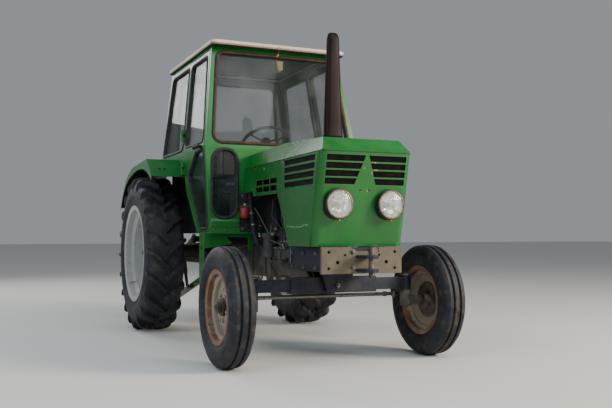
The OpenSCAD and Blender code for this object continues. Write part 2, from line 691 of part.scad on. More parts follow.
module rear_rim() rotate([0, 90, 0]) difference() {
    w = 138;
    union() {
        rotate_extrude() polygon([[rear_bead_r, -w], [rear_flange_r, -w - rim_sheet],
            [rear_flange_r, -w], [rear_bead_r, -w + rim_sheet], [rear_bead_r, -90], [334, -70],
            [334, 70], [rear_bead_r, 90], [rear_bead_r, w - rim_sheet], [rear_flange_r, w],
            [rear_flange_r, w + rim_sheet], [rear_bead_r - rim_sheet, w],
            [rear_bead_r - rim_sheet, 92], [328, 72], [328, -72], [rear_bead_r - rim_sheet, -92],
            [rear_bead_r - rim_sheet, -w]]);
        rotate_extrude() polygon([[60, -60], [170, -60], [250, -14], [330, -14], [330, -4], [246, -4],
            [166, -50], [60, -50]]);
        translate([0, 0, -170]) cylinder(r = 110, h = 110 + eps);
        translate([0, 0, -60]) cylinder(r = 62, h = 60);
        translate([0, 0, -250]) cylinder(r = rear_shaft_r - run_clear, h = 200);
        for (i = [0:7]) rotate([0, 0, i * 45]) translate([132, 0, -50 - eps]) cylinder(r = 13, h = 15, $fn = 6);
    }
    for (i = [0:7]) rotate([0, 0, i * 45 + 22.5]) translate([286, 0, -40]) cylinder(r = 20, h = 60);
}
// One lug of a rear tyre's outer half, at the top of the tread: a slanting bar with an elbow,
// cut to the tread's round and down over the shoulder
module lug() {
    out_r = rear_tyre_d / 2;
    low_r = out_r - lug_h;
    x1 = rear_tyre_w / 2;
    // Middle line of the bar: [across the tread, round the tread]
    line = [[4, -lug_lag / 2], [x1 - 68, lug_lag * 0.22], [x1 - 31, lug_lag * 0.45], [x1, lug_lag / 2]];
    intersection() {
        translate([0, 0, low_r - 110]) linear_extrude(160) polygon(concat(
            [for (p = line) p + [0, -lug_w / 2]], [for (i = [3:-1:0]) line[i] + [0, lug_w / 2]]));
        rotate([90, 0, 0]) translate([0, 0, -lug_lag]) linear_extrude(2 * lug_lag) polygon([[0, low_r - 12],
            [0, out_r + 9], [x1 - 60, out_r + 6], [x1 - 34, out_r - 7], [x1 - 14, out_r - 21],
            [x1 - 3, out_r - 41], [x1 - 0.3, out_r - 69], [x1 - 1, low_r - 66], [x1 - 8, low_r - 90],
            [x1 - 14, low_r - 60], [x1 - 38, low_r - 25], [x1 - 58, low_r - 12]]);
        rotate([0, 90, 0]) cylinder(r = out_r, h = x1 + 1);
    }
}
module rear_tyre() {
    carcass(rear_bead_r, rear_tyre_d / 2 - lug_h, rear_tyre_w / 2, 138 - rim_sheet - 0.5, 60, 26);
    for (side = [0, 1], i = [0:lug_count - 1]) rotate([(i + side / 2) * 360 / lug_count, 0, 0])
        mirror([side, 0, 0]) lug();
}
module at_front(s) placed() translate([s * front_wheel_x, 0, front_wheel_z])
    mirror([s < 0 ? 1 : 0, 0, 0]) children();
module at_rear(s) placed() translate([s * rear_wheel_x, wheelbase, rear_wheel_z])
    mirror([s < 0 ? 1 : 0, 0, 0]) children();
module front_rim_left() color([0.55, 0.40, 0.28]) at_front(1) front_rim();
module front_rim_right() color([0.55, 0.40, 0.28]) at_front(-1) front_rim();
module front_tyre_left() color([0.10, 0.10, 0.11]) at_front(1) front_tyre();
module front_tyre_right() color([0.10, 0.10, 0.11]) at_front(-1) front_tyre();
module rear_rim_left() color([0.62, 0.62, 0.60]) at_rear(1) rear_rim();
module rear_rim_right() color([0.62, 0.62, 0.60]) at_rear(-1) rear_rim();
module rear_tyre_left() color([0.10, 0.10, 0.11]) at_rear(1) rear_tyre();
module rear_tyre_right() color([0.10, 0.10, 0.11]) at_rear(-1) rear_tyre();

// Engine, gearbox and rear axle
barrel_y = [for (i = [0:2]) (engine_y + engine_end_y) / 2 + (i - 1) * bore_pitch];
module engine_block() color([0.10, 0.10, 0.11]) placed() {
    xz(engine_y, engine_end_y) polygon([[-110, sump_z], [110, sump_z], [crank_x, sump_z + 90],
        [crank_x, crank_z - 60], [110, crank_z], [-110, crank_z], [-crank_x, crank_z - 60],
        [-crank_x, sump_z + 90]]);
    xz(engine_y + 6, engine_end_y - 6) polygon([[-crank_x - 10, sump_z + 90], [crank_x + 10, sump_z + 90],
        [crank_x + 10, sump_z + 104], [-crank_x - 10, sump_z + 104]]);
    for (y = barrel_y) yz(crank_x - 1, crank_x + 8) translate([y, crank_z - 110]) rounded([[-62, -38], [-62, 38], [62, 38], [62, -38]], 16);
    rod_x([crank_x - 1, engine_y + 80, crank_z - 190], 44, 9);
}
module engine_cylinders() color([0.22, 0.22, 0.23]) placed() for (y = barrel_y) {
    head_z0 = crank_z + barrel_h;
    translate([0, y, crank_z]) {
        cylinder(r = barrel_r, h = barrel_h);
        for (z = [fin_pitch:fin_pitch:barrel_h - fin_t]) translate([0, 0, z]) cylinder(r = fin_r, h = fin_t);
    }
    block([-72, y - 72, head_z0 - 1], [72, y + 72, head_z0 + 71]);
    for (z = [0:fin_pitch * 0.8:60]) block([-fin_r - 28, y - fin_r, head_z0 + z], [fin_r, y + fin_r, head_z0 + z + fin_t]);
    block([-60, y - 66, head_z0 + 70], [60, y + 66, head_z0 + 118]);
    rod_z([0, y, head_z0 + 110], 20, 20);
    for (dy = [-24, 24]) rod_z([-fin_r - 14, y + dy, crank_z], 10, barrel_h + 2);
}
// Pipe of radius r through a list of points
module pipe(points, r) for (i = [0:len(points) - 2]) {
    bar(points[i], points[i + 1], r);
    if (i < len(points) - 2) translate(points[i + 1]) sphere(r + 1.2, $fn = 24);
}
module engine_fittings() color([0.12, 0.12, 0.13]) placed() {
    bz = crank_z + 90;
    by = engine_y - 190;
    hub_r = 58;
    // Blower: shroud, hub and the fixed vanes of its inlet
    difference() {
        rod_y([0, by, bz], blower_r, 120);
        rod_y([0, by - 1, bz], blower_r - 12, 122);
    }
    rod_y([0, by + 6, bz], hub_r, 112);
    for (i = [0:vanes - 1]) translate([0, by + 50, bz]) rotate([0, i * 360 / vanes, 0])
        translate([hub_r - 3, 0, 0]) rotate([35, 0, 0]) translate([0, -42, -2.5]) cube([blower_r - 10 - hub_r, 84, 5]);
    // Sheet that closes the hood round the blower
    xz(by + 62, by + 66) difference() {
        w = hood_x - hood_sheet - move_gap;
        polygon([[-w, plate_top_z - 2], [w, plate_top_z - 2], [w, seam_z - 30], [hood_flat_x - 12, hood_front_z - 8],
            [-hood_flat_x + 12, hood_front_z - 8], [-w, seam_z - 30]]);
        translate([0, bz]) circle(blower_r - 6);
    }
    // Drive: shaft, bracket, pulleys and belt
    rod_y([0, engine_y - 73, bz], 50, 74);
    block([-42, engine_y - 60, crank_z - 45], [42, engine_y, crank_z + 45]);
    rod_y([0, engine_y - 40, plate_top_z - 22], pulley_r, 40);
    xz(engine_y - 34, engine_y - 20) difference() {
        hull() {
            translate([0, bz]) circle(56);
            translate([0, plate_top_z - 22]) circle(pulley_r + 5);
        }
        hull() {
            translate([0, bz]) circle(49);
            translate([0, plate_top_z - 22]) circle(pulley_r - 1);
        }
    }
    // Exhaust manifold and the pipe up to the silencer
    mz = crank_z + barrel_h + 36;
    mx = fin_r + 46;
    for (y = barrel_y) rod_x([fin_r, y, mz], 18, 46);
    rod_y([mx, exhaust_y, mz], 24, barrel_y[2] + 40 - exhaust_y);
    rod_z([mx, exhaust_y, mz], pipe_r, elbow_z - mz + 24);
    rod_x([exhaust_x, exhaust_y, elbow_z], pipe_r - 3, mx - exhaust_x);
    rod_z([exhaust_x, exhaust_y, elbow_z - 26], pipe_r, 56);
    // Injection pump, its lines up to the heads, and the oil filter on the other end of the crankcase
    pump_x = -crank_x - 38;
    pump_z = crank_z - 150;
    block([-crank_x - 66, engine_y + 130, pump_z - 40], [-crank_x, engine_y + 330, pump_z + 34]);
    rod_y([pump_x, engine_y + 60, pump_z], 34, 70);
    for (i = [0:2]) {
        y = engine_y + 170 + i * 50;
        rod_z([pump_x, y, pump_z + 33], 13, 40);
        pipe([[pump_x, y, pump_z + 70], [pump_x, y, crank_z - 20 + i * 16], [pump_x, barrel_y[i], crank_z + 70 + i * 16],
            [pump_x + 10, barrel_y[i], mz - 30], [-fin_r - 33 - seat_gap, barrel_y[i], mz]], 5);
    }
    rod_z([-crank_x - 50, engine_end_y - 90, crank_z - 180], 46, 130);
    rod_z([-crank_x - 50, engine_end_y - 90, crank_z - 52], 52, 22);
    block([-crank_x - 50, engine_end_y - 120, crank_z - 90], [-crank_x, engine_end_y - 60, crank_z - 64]);
}
module fuel_tank() color([0.10, 0.11, 0.12]) placed() {
    z0 = cowl_z + 18;
    yz(-tank_w / 2, tank_w / 2) translate([cab_y - 92, z0 + 105])
        rounded([[-70, -105], [-70, 105], [70, 105], [70, -105]], 34);
    for (s = [-1, 1]) {
        block([s * 120 - 15, cab_y - 152, z0 - 10], [s * 120 + 15, cab_y - 32, z0]);
        block([s * 70 - 15, cab_y - 112, gearbox_z], [s * 70 + 15, cab_y - 72, z0 - 9.99]);
        block([s * 85 - 30, cab_y - 112, z0 - 22], [s * 85 + 30, cab_y - 72, z0 - 9.99]);
    }
    rod_z([tank_w / 2 - 60, cab_y - 92, z0 + 200], 26, 32);
}
module gearbox() color([0.09, 0.10, 0.12]) placed() {
    y1 = wheelbase - 240;
    translate([0, engine_end_y, 690]) rotate([-90, 0, 0]) rotate_extrude()
        polygon([[0, 0], [185, 0], [185, 14], [172, 18], [150, 60], [0, 60]]);
    xz(engine_end_y + 60, y1) polygon([[-gearbox_x, 500], [gearbox_x, 500],
        [gearbox_x, gearbox_z - 60], [gearbox_x - 50, gearbox_z], [-gearbox_x + 50, gearbox_z],
        [-gearbox_x, gearbox_z - 60]]);
    for (k = [0:4]) translate([0, engine_end_y + 150 + k * (y1 - engine_end_y - 200) / 4, 0]) xz(0, 12)
        polygon([[-gearbox_x - 10, 520], [gearbox_x + 10, 520], [gearbox_x + 10, gearbox_z - 66],
            [-gearbox_x - 10, gearbox_z - 66]]);
    xz(y1 - 22, y1) polygon([[-gearbox_x - 22, 490], [gearbox_x + 22, 490], [gearbox_x + 22, gearbox_z - 50],
        [gearbox_x - 40, gearbox_z + 8], [-gearbox_x + 40, gearbox_z + 8], [-gearbox_x - 22, gearbox_z - 50]]);
}
module rear_axle() color([0.09, 0.10, 0.12]) placed() {
    y1 = wheelbase + 180;
    difference() {
        union() {
            block([-200, wheelbase - 240, 430], [200, y1, floor_z]);
            block([-200, link_y - 50, link_z - 35], [200, link_y + 50, 431]);
            for (s = [-1, 1]) {
                translate([s * 199, wheelbase, rear_wheel_z]) rotate([0, s * 90, 0]) rotate_extrude()
                    polygon([[0, 0], [114, 0], [114, 22], [100, 26], [axle_tube_r + 6, 66], [axle_tube_r - 6, 190],
                        [axle_tube_r - 6, axle_tube_x - 225], [axle_tube_r, axle_tube_x - 219],
                        [axle_tube_r, axle_tube_x - 199], [0, axle_tube_x - 199]]);
                rod_x([s > 0 ? 199 : -link_in_x - 26, link_y, link_z], 20 - run_clear, link_in_x + 26 - 199);
                block([s * 34 - 8, y1 - 1, 690], [s * 34 + 8, y1 + 70, 770]);
            }
        }
        for (s = [-1, 1]) rod_x([s > 0 ? axle_tube_x - 90 : -axle_tube_x - 10, wheelbase, rear_wheel_z],
            rear_shaft_r, 100);
        rod_x([-210, lift_y, lift_z], lift_shaft_r + run_clear, 420);
        rod_x([-60, y1 + 42, 730], top_link_r, 120);
    }
    rod_y([0, y1 - 1, 610], pto_r, 91);
}

// Cab
// Slab of the cab's side from depth a to depth b below its outer face
module side_slab(a, b) xz(cab_y - 60, cab_end_y + 60) polygon([
    [side_x(floor_z) - a, floor_z], [side_x(waist_z) - a, waist_z], [side_x(frame_z) - a, frame_z],
    [side_x(frame_z) - b, frame_z], [side_x(waist_z) - b, waist_z], [side_x(floor_z) - b, floor_z]]);
// Slab of the cab's front from depth a to depth b
module front_slab(a, b) yz(-700, 700) polygon([
    [cab_y + a, floor_z], [cab_y + a, waist_z], [screen_y(frame_z) + a, frame_z],
    [screen_y(frame_z) + b, frame_z], [cab_y + b, waist_z], [cab_y + b, floor_z]]);
cab_outline = [[-cab_floor_x, floor_z], [-cab_waist_x, waist_z], [-cab_top_x, frame_z],
    [cab_top_x, frame_z], [cab_waist_x, waist_z], [cab_floor_x, floor_z]];
screen_opening = [[-side_x(sill_z) + screen_margin, sill_z], [-side_x(head_z) + screen_margin - 10, head_z],
    [side_x(head_z) - screen_margin + 10, head_z], [side_x(sill_z) - screen_margin, sill_z]];
foot_opening = [[360, 924], [360, 1418], [550, 1418], [550, 924]];
quarter_opening = [[door_waist_y + 34, waist_z + 26], [door_top_y + 40, head_z - 20],
    [cab_end_y - 79, head_z - 20], [cab_end_y - 45, waist_z + 26]];
door_window = [[door_y + 32, sill_z + 6], [screen_y(head_z - 20) + end_t + 58, head_z - 20],
    [door_top_y - 29, head_z - 20], [door_waist_y - 30, sill_z + 6]];
door_low_window = [[door_y + 21, door_foot_z + 14], [door_y + 21, waist_z - 14], [door_waist_y - 345, waist_z - 14],
    [door_waist_y - 95, 1255], [door_waist_y - 345, door_foot_z + 14]];
rear_opening = [[-cab_waist_x + 130, waist_z + 46], [-cab_top_x + 82, head_z - 20],
    [cab_top_x - 82, head_z - 20], [cab_waist_x - 130, waist_z + 46]];
door_rear = [[door_top_y, door_top_z], [door_waist_y, waist_z], [door_waist_y, door_bend_z],
    [door_waist_y - 37, door_bend_z - 237], [door_foot_y, door_foot_z]];
door_outline = concat([[door_y, door_foot_z], [door_y, waist_z],
    [door_y + (door_top_z - waist_z) * screen_slope, door_top_z]], door_rear);
door_hole = concat([[cab_y + end_t, door_foot_z - door_gap], [cab_y + end_t, waist_z],
    [screen_y(door_top_z + door_gap) + end_t, door_top_z + door_gap]],
    [for (p = door_rear) p + [door_gap, p[1] == door_top_z ? door_gap : (p[1] == door_foot_z ? -door_gap : 0)]]);
module ring(p, r) difference() {
    rounded(p, r);
    rounded(inset(p, seal_w), max(6, r - seal_w));
}
module pane(p, r) rounded(inset(p, seal_w), max(6, r - seal_w));

module cab_front() color([0.12, 0.45, 0.14]) placed() difference() {
    union() {
        intersection() {
            front_slab(0, end_t);
            xz(cab_y - 10, cab_y + 400) polygon(cab_outline);
        }
        both() yz(348, cab_floor_x) polygon([[cab_y + 1, 918], [cab_y - 12, 900],
            [cab_y - 12, 868], [cab_y + 1, 854]]);
    }
    xz(cab_y - 60, cab_y + 400) rounded(screen_opening, 62);
    for (s = [0, 1]) mirror([s, 0, 0]) xz(cab_y - 60, cab_y + 400) rounded(foot_opening, 84);
    block([-330, cab_y + skin_t, 850], [330, cab_y + end_t + 1, 1400]);
}
side_frame_outline = [[cab_y + end_t, floor_z], [cab_y + end_t, waist_z],
    [screen_y(frame_z) + end_t, frame_z], [cab_end_y - end_t, frame_z],
    [cab_end_y - end_t, fender_z(cab_end_y - end_t) + 0.1], fender_line[1] + [0, 0.1],
    fender_line[0] + [-0.1, 0.1],
    [door_waist_y - 7, door_bend_z - 241], [door_foot_y + 33, floor_z]];
module cab_sides() color([0.12, 0.43, 0.16]) placed() both() difference() {
    union() {
        intersection() {
            side_slab(0, side_t);
            yz(0, 700) difference() {
                polygon(side_frame_outline);
                polygon(door_hole);
                rounded(quarter_opening, 44);
            }
        }
        for (z = [hinge_low_z, hinge_top_z]) {
            y0 = max(door_edge(z), door_edge(z + barrel_l)) + door_gap + 2;
            block([side_x(z) - 10, y0, z], [hinge_x, y0 + 18, z + barrel_l]);
            block([hinge_x - 5, hinge_y, z], [hinge_x + 5, y0 + 18, z + barrel_l]);
            rod_z([hinge_x, hinge_y, z], hinge_r + 4, barrel_l);
        }
    }
    rod_z([hinge_x, hinge_y, hinge_low_z - 50], hinge_r + run_clear, hinge_top_z - hinge_low_z + 150);
}
module cab_rear() color([0.10, 0.40, 0.16]) placed() difference() {
    z0 = fender_z(cab_end_y - end_t) + 0.1;
    xz(cab_end_y - end_t, cab_end_y) difference() {
        polygon([[-side_x(z0), z0], [-cab_waist_x, waist_z], [-cab_top_x, frame_z],
            [cab_top_x, frame_z], [cab_waist_x, waist_z], [side_x(z0), z0],
            [wheelhouse_x - fender_sheet, z0], [wheelhouse_x - fender_sheet, floor_z],
            [-wheelhouse_x + fender_sheet, floor_z], [-wheelhouse_x + fender_sheet, z0]]);
        rounded(rear_opening, 60);
    }
    block([-470, cab_end_y - end_t - 1, 850], [470, cab_end_y - skin_t, 1430]);
}
module cab_roof() color([0.80, 0.76, 0.66]) placed() difference() {
    y1 = cab_end_y + 24;
    union() {
        translate([0, 0, frame_z - drip_h]) linear_extrude(drip_h + 1) difference() {
            rounded([[-roof_x, roof_y], [-roof_x, y1], [roof_x, y1], [roof_x, roof_y]], 40);
            rounded([[-roof_x + 6, roof_y + 6], [-roof_x + 6, y1 - 6], [roof_x - 6, y1 - 6], [roof_x - 6, roof_y + 6]], 34);
        }
        translate([0, 0, frame_z]) linear_extrude(roof_t - 8)
            rounded([[-roof_x, roof_y], [-roof_x, y1], [roof_x, y1], [roof_x, roof_y]], 40);
        translate([0, 0, frame_z + roof_t - 8 - eps]) linear_extrude(8)
            rounded([[-roof_x + 30, roof_y + 30], [-roof_x + 30, y1 - 30],
                [roof_x - 30, y1 - 30], [roof_x - 30, roof_y + 30]], 40);
    }
    block([-cab_top_x + side_t + 6, roof_y + 130, frame_z - 1], [cab_top_x - side_t - 6, y1 - 60, frame_z + 14]);
}
module cab_floor() color([0.12, 0.13, 0.13]) placed() difference() {
    union() {
        block([-wheelhouse_x + fender_sheet, cab_y + end_t, floor_z],
            [wheelhouse_x - fender_sheet, cab_end_y - end_t, floor_z + 10]);
        block([-cab_floor_x + side_t, cab_y + end_t, floor_z], [cab_floor_x - side_t, door_foot_y + 21, floor_z + 10]);
    }
}
module window_seals() color([0.12, 0.08, 0.06]) placed() {
    m = end_t / 2;
    intersection() {
        front_slab(m - seal_t / 2 - 6, m + seal_t / 2);
        xz(cab_y - 60, cab_y + 400) ring(screen_opening, 62);
    }
    both() intersection() {
        front_slab(m - seal_t / 2 - 6, m + seal_t / 2);
        xz(cab_y - 60, cab_y + 400) ring(foot_opening, 84);
    }
    both() intersection() {
        side_slab(side_t / 2 - seal_t / 2 - 6, side_t / 2 + seal_t / 2);
        yz(0, 700) ring(quarter_opening, 44);
    }
    xz(cab_end_y - m - seal_t / 2, cab_end_y - m + seal_t / 2) ring(rear_opening, 60);
}
module windscreen_glass() color([0.6, 0.7, 0.7, 0.35]) placed() {
    m = end_t / 2;
    intersection() {
        front_slab(m - glass_t / 2, m + glass_t / 2);
        xz(cab_y - 60, cab_y + 400) pane(screen_opening, 62);
    }
    both() intersection() {
        front_slab(m - glass_t / 2, m + glass_t / 2);
        xz(cab_y - 60, cab_y + 400) pane(foot_opening, 84);
    }
}
module side_glass() color([0.6, 0.7, 0.7, 0.35]) placed() {
    m = end_t / 2;
    both() intersection() {
        side_slab(side_t / 2 - glass_t / 2, side_t / 2 + glass_t / 2);
        yz(0, 700) pane(quarter_opening, 44);
    }
    xz(cab_end_y - m - glass_t / 2, cab_end_y - m + glass_t / 2) pane(rear_opening, 60);
}
// Door of the left side, its windows open
module door_frame() {
    difference() {
        intersection() {
            side_slab(0, side_t);
            yz(0, 700) difference() {
                polygon(door_outline);
                rounded(door_window, 40);
                rounded(door_low_window, 40);
            }
        }
    }
    for (z = [hinge_low_z, hinge_top_z]) {
        for (k = [-1, 1]) {
            zk = z + k * (barrel_l + 2);
            y1 = min(door_edge(zk), door_edge(zk + barrel_l)) - 4;
            block([side_x(zk) - 10, y1 - 26, zk], [hinge_x, y1, zk + barrel_l]);
            block([hinge_x - 5, y1 - 26, zk], [hinge_x + 5, hinge_y, zk + barrel_l]);
            rod_z([hinge_x, hinge_y, zk], hinge_r + 4, barrel_l);
        }
        rod_z([hinge_x, hinge_y, z - barrel_l], hinge_r, 3 * barrel_l);
    }
    rod_x([side_x(1440) - 2, door_y + 70, 1440], 9, 30);
    block([side_x(1440) + 22, door_y + 60, 1425], [side_x(1440) + 34, door_y + 190, 1455]);
}
module door_pane() intersection() {
    side_slab(side_t / 2 - glass_t / 2, side_t / 2 + glass_t / 2);
    yz(0, 700) {
        rounded(door_window, 40);
        rounded(door_low_window, 40);
    }
}
module door_left() color([0.12, 0.44, 0.16]) placed() door_frame();
module door_right() color([0.12, 0.44, 0.16]) placed() mirror([1, 0, 0]) door_frame();
module door_left_glass() color([0.6, 0.7, 0.7, 0.35]) placed() door_pane();
module door_right_glass() color([0.6, 0.7, 0.7, 0.35]) placed() mirror([1, 0, 0]) door_pane();

module fenders() color([0.07, 0.36, 0.26]) placed() both() {
    last = len(fender_line) - 1;
    yz(wheelhouse_x - fender_sheet, fender_x) polygon(concat(fender_line, [for (i = [last:-1:0])
        fender_line[i] - line_normal(fender_line, i) * fender_sheet * 1.12]));
    yz(fender_x - fender_sheet, fender_x) polygon(concat(fender_line,
        [for (i = [len(lip_line) - 1:-1:0]) lip_line[i]]));
    yz(wheelhouse_x - fender_sheet, wheelhouse_x) polygon([fender_line[0], fender_line[1],
        [cab_end_y, fender_z(cab_end_y) - 1.8], [cab_end_y, floor_z], [door_foot_y + 33, floor_z],
        [door_waist_y - 7, door_bend_z - 241]]);
}
module steps() color([0.10, 0.36, 0.14]) placed() both() {
    plate_y0 = cab_y + 45;
    hang_x = cab_floor_x + 31;
    xz(plate_y0, plate_y0 + 4) polygon([[hang_x, floor_z], [hang_x, 706], [475, 724], [383, 743], [429, 786],
        [263, 786], [263, 690], [225, 690], [225, floor_z]]);
    block([225, plate_y0, floor_z - 4], [cab_floor_x, plate_y0 + 244, floor_z]);
    difference() {
        block([hang_x, plate_y0, step_z], [hang_x + 4, plate_y0 + 120, floor_z]);
        for (k = [0:2]) rod_x([hang_x - 1, plate_y0 + 60, step_z + 90 + k * 90], 16, 6);
    }
    block([cab_floor_x - 1, plate_y0, floor_z - 4], [hang_x + 4, plate_y0 + 120, floor_z]);
    difference() {
        union() {
            block([400, plate_y0, step_z], [hang_x + 4, plate_y0 + 244, step_z + 6]);
            block([400, plate_y0, step_z], [hang_x + 4, plate_y0 + 5, step_z + 26]);
            block([400, plate_y0 + 239, step_z], [hang_x + 4, plate_y0 + 244, step_z + 26]);
        }
        for (i = [0:3], j = [0:3]) rod_z([430 + i * 42, plate_y0 + 41 + j * 54, step_z - 1], 11, 8);
    }
}

// Inside the cab
module seat_base() color([0.10, 0.10, 0.10]) placed() {
    block([-150, seat_y - seat_d + 40, floor_z + 10], [150, seat_y - 20, seat_z - 130]);
    block([-seat_w / 2 + 20, seat_y - seat_d, seat_z - 130], [seat_w / 2 - 20, seat_y, seat_z - 110]);
}
module seat_cushion() color([0.08, 0.08, 0.08]) placed() {
    y0 = seat_y - seat_d;
    yz(-seat_w / 2, seat_w / 2) polygon([[y0, seat_z - 110 + seat_gap], [y0 - 20, seat_z - 60], [y0, seat_z],
        [seat_y - 60, seat_z - 20], [seat_y - 30, seat_z + 330], [seat_y + 40, seat_z + 340],
        [seat_y + 40, seat_z - 110 + seat_gap]]);
}
col_dir = [0, sin(column_lean), cos(column_lean)];
wheel_c = [0, 1205, 1530];
col_foot = wheel_c - col_dir * 420;
module dash() color([0.13, 0.13, 0.13]) placed() {
    block([-280, cab_y + end_t, 1150], [280, cab_y + end_t + 150, waist_z - 4]);
    block([-120, cab_y + end_t, floor_z + 10], [120, cab_y + end_t + 110, 1150]);
    for (x = [-105, 0, 105]) rod_y([x, cab_y + end_t + 149, waist_z - 64], x == 0 ? 46 : 32, 9);
    difference() {
        bar(col_foot, wheel_c - col_dir * 40, 24);
        bar(wheel_c - col_dir * 160, wheel_c, 12 + run_clear);
    }
}
module steering_wheel() color([0.06, 0.06, 0.06]) placed() {
    translate(wheel_c) rotate([-column_lean, 0, 0]) {
        rotate_extrude() translate([wheel_r - rim_r, 0]) circle(rim_r, $fn = 24);
        translate([0, 0, -34]) cylinder(r = 36, h = 44);
        translate([0, 0, -150]) cylinder(r = 12, h = 130);
        for (i = [0:2]) rotate([0, 0, 90 + i * 120]) rod_x([30, 0, -6], 7, wheel_r - rim_r - 30);
    }
}
module controls() color([0.08, 0.08, 0.08]) placed() {
    for (x = [-60, 60]) {
        block([x - 20, 1368, floor_z + 10], [x + 20, 1412, floor_z + 24]);
        bar([x, 1390, floor_z + 16], [x * 1.4, 1370, floor_z + 380], 7);
        translate([x * 1.4, 1370, floor_z + 392]) sphere(20);
    }
    for (x = [-230, 190, 290]) {
        block([x - 16, 990, floor_z + 10], [x + 16, 1034, floor_z + 26]);
        bar([x, 1010, floor_z + 20], [x, 1080, floor_z + 130], 8);
        block([x - 35, 1070, floor_z + 120], [x + 35, 1090, floor_z + 190]);
    }
}

// Hitch
module trailer_hitch() color([0.10, 0.10, 0.11]) placed() difference() {
    y0 = wheelbase + 180;
    union() {
        for (s = [-1, 1]) block([s * 70 - 8, y0, 440], [s * 70 + 8, y0 + 150, 760]);
        for (z = [470, 540]) block([-62, y0 + 60, z], [62, y0 + 190, z + 20]);
    }
    rod_z([0, y0 + 150, 440], hitch_bore_r, 160);
}
module link_frame(s) translate([s * link_in_x, link_y, link_z]) rotate([-link_droop, 0, -s * link_toe]) children();
module lower_links() color([0.10, 0.10, 0.11]) placed() {
    for (s = [-1, 1]) difference() {
        union() {
            rod_x([s * link_in_x - 16, link_y, link_z], 34, 32);
            link_frame(s) block([-9, 0, -26], [9, link_l - 8, 26]);
            rod_x([s * link_out_x - 19, link_eye_y, link_eye_z], link_eye_out_r, 38);
            rod_x([s > 0 ? rod_in_x : -rod_x - 10, rod_foot[1], rod_foot[2]], rod_pin_r, rod_x + 10 - rod_in_x);
        }
        rod_x([s * link_in_x - 40, link_y, link_z], 20, 80);
        rod_x([s * link_out_x - 40, link_eye_y, link_eye_z], link_eye_r, 80);
    }
}
// Where the lift rods meet the lower links and the lift arms
arm_run = [0, lift_l * cos(link_droop), -lift_l * sin(link_droop)];
rod_foot = [0, link_y, link_z] + arm_run;
rod_head = [0, lift_y, lift_z] + arm_run;
rod_in_x = link_in_x + lift_l * sin(link_toe);
rod_x = rod_in_x + 30;
module lift_arms() color([0.10, 0.10, 0.11]) placed() {
    rod_x([-rod_in_x - 14, lift_y, lift_z], lift_shaft_r, 2 * rod_in_x + 28);
    for (s = [-1, 1]) {
        yz(s * rod_in_x - 9, s * rod_in_x + 9) translate([lift_y, lift_z]) rotate(-link_droop) {
            circle(lift_shaft_r + 18);
            translate([lift_l, 0]) circle(rod_pin_r + 15);
            polygon([[0, -32], [lift_l, -19], [lift_l, 19], [0, 32]]);
        }
        rod_x([s > 0 ? rod_in_x : -rod_x - 10, rod_head[1], rod_head[2]], rod_pin_r, rod_x + 10 - rod_in_x);
    }
}
module lift_rods() color([0.10, 0.10, 0.11]) placed() for (s = [-1, 1]) {
    foot = rod_foot + [s * rod_x, 0, 0];
    head = rod_head + [s * rod_x, 0, 0];
    difference() {
        union() {
            bar(foot, head, 13);
            rod_x(foot - [8, 0, 0], 24, 16);
            rod_x(head - [8, 0, 0], 24, 16);
        }
        rod_x(foot - [20, 0, 0], rod_pin_r + 1, 40);
        rod_x(head - [20, 0, 0], rod_pin_r + run_clear, 40);
    }
}

engine_block();
engine_cylinders();
engine_fittings();
fuel_tank();
gearbox();
rear_axle();
front_carrier();
front_plate();
front_axle_beam();
hood_top();
nose_panel();
hood_sides();
cowl();
headlamp_bowls();
headlamp_lenses();
exhaust();
cab_front();
cab_sides();
cab_rear();
cab_roof();
cab_floor();
window_seals();
windscreen_glass();
side_glass();
fenders();
steps();
seat_base();
seat_cushion();
dash();
controls();
trailer_hitch();
door_left();
door_left_glass();
door_right();
door_right_glass();
steering_wheel();
knuckle_left();
knuckle_right();
tie_rod();
front_rim_left();
front_tyre_left();
front_rim_right();
front_tyre_right();
rear_rim_left();
rear_tyre_left();
rear_rim_right();
rear_tyre_right();
lift_arms();
lift_rods();
lower_links();
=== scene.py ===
# %% [markdown]
# # A vintage farm tractor, dressed
#
# The solids of the tractor come from its CAD model, already in metres and already in place.
# This script gives them rounded edges, real finishes and the small pieces that make a
# machine look used: lugs, bolts, seals, lamps, dust and worn paint. Every piece rides on a
# body of the CAD model, so doors, wheels and steering still move.

# %% Load the frame
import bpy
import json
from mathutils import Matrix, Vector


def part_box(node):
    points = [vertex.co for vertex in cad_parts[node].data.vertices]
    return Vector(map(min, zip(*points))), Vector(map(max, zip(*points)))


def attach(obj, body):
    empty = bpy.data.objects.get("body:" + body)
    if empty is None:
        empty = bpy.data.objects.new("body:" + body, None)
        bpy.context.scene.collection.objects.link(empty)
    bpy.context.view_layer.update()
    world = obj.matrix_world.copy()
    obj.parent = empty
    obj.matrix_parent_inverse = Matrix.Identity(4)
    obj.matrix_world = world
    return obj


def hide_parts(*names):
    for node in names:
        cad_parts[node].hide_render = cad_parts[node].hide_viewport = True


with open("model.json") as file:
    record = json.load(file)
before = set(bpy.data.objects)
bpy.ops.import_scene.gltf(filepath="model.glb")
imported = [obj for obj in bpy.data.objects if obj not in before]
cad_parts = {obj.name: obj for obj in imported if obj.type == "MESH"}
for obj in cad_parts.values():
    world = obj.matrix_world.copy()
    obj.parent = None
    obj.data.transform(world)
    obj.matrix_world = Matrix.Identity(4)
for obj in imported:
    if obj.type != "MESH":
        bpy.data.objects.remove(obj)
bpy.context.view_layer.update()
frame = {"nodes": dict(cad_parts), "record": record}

import json
import math

import bmesh
import bpy
from mathutils import Matrix, Vector

print("pieces of the frame:", len(frame["nodes"]))

# %% [markdown]
# Lengths along the tractor are easiest to think of from the front axle, so one value holds
# where that axle lies. The helper at() then takes millimetres and gives metres in the frame.

# %% Places on the tractor
def middle(node):
    low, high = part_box(node)
    return (low + high) / 2


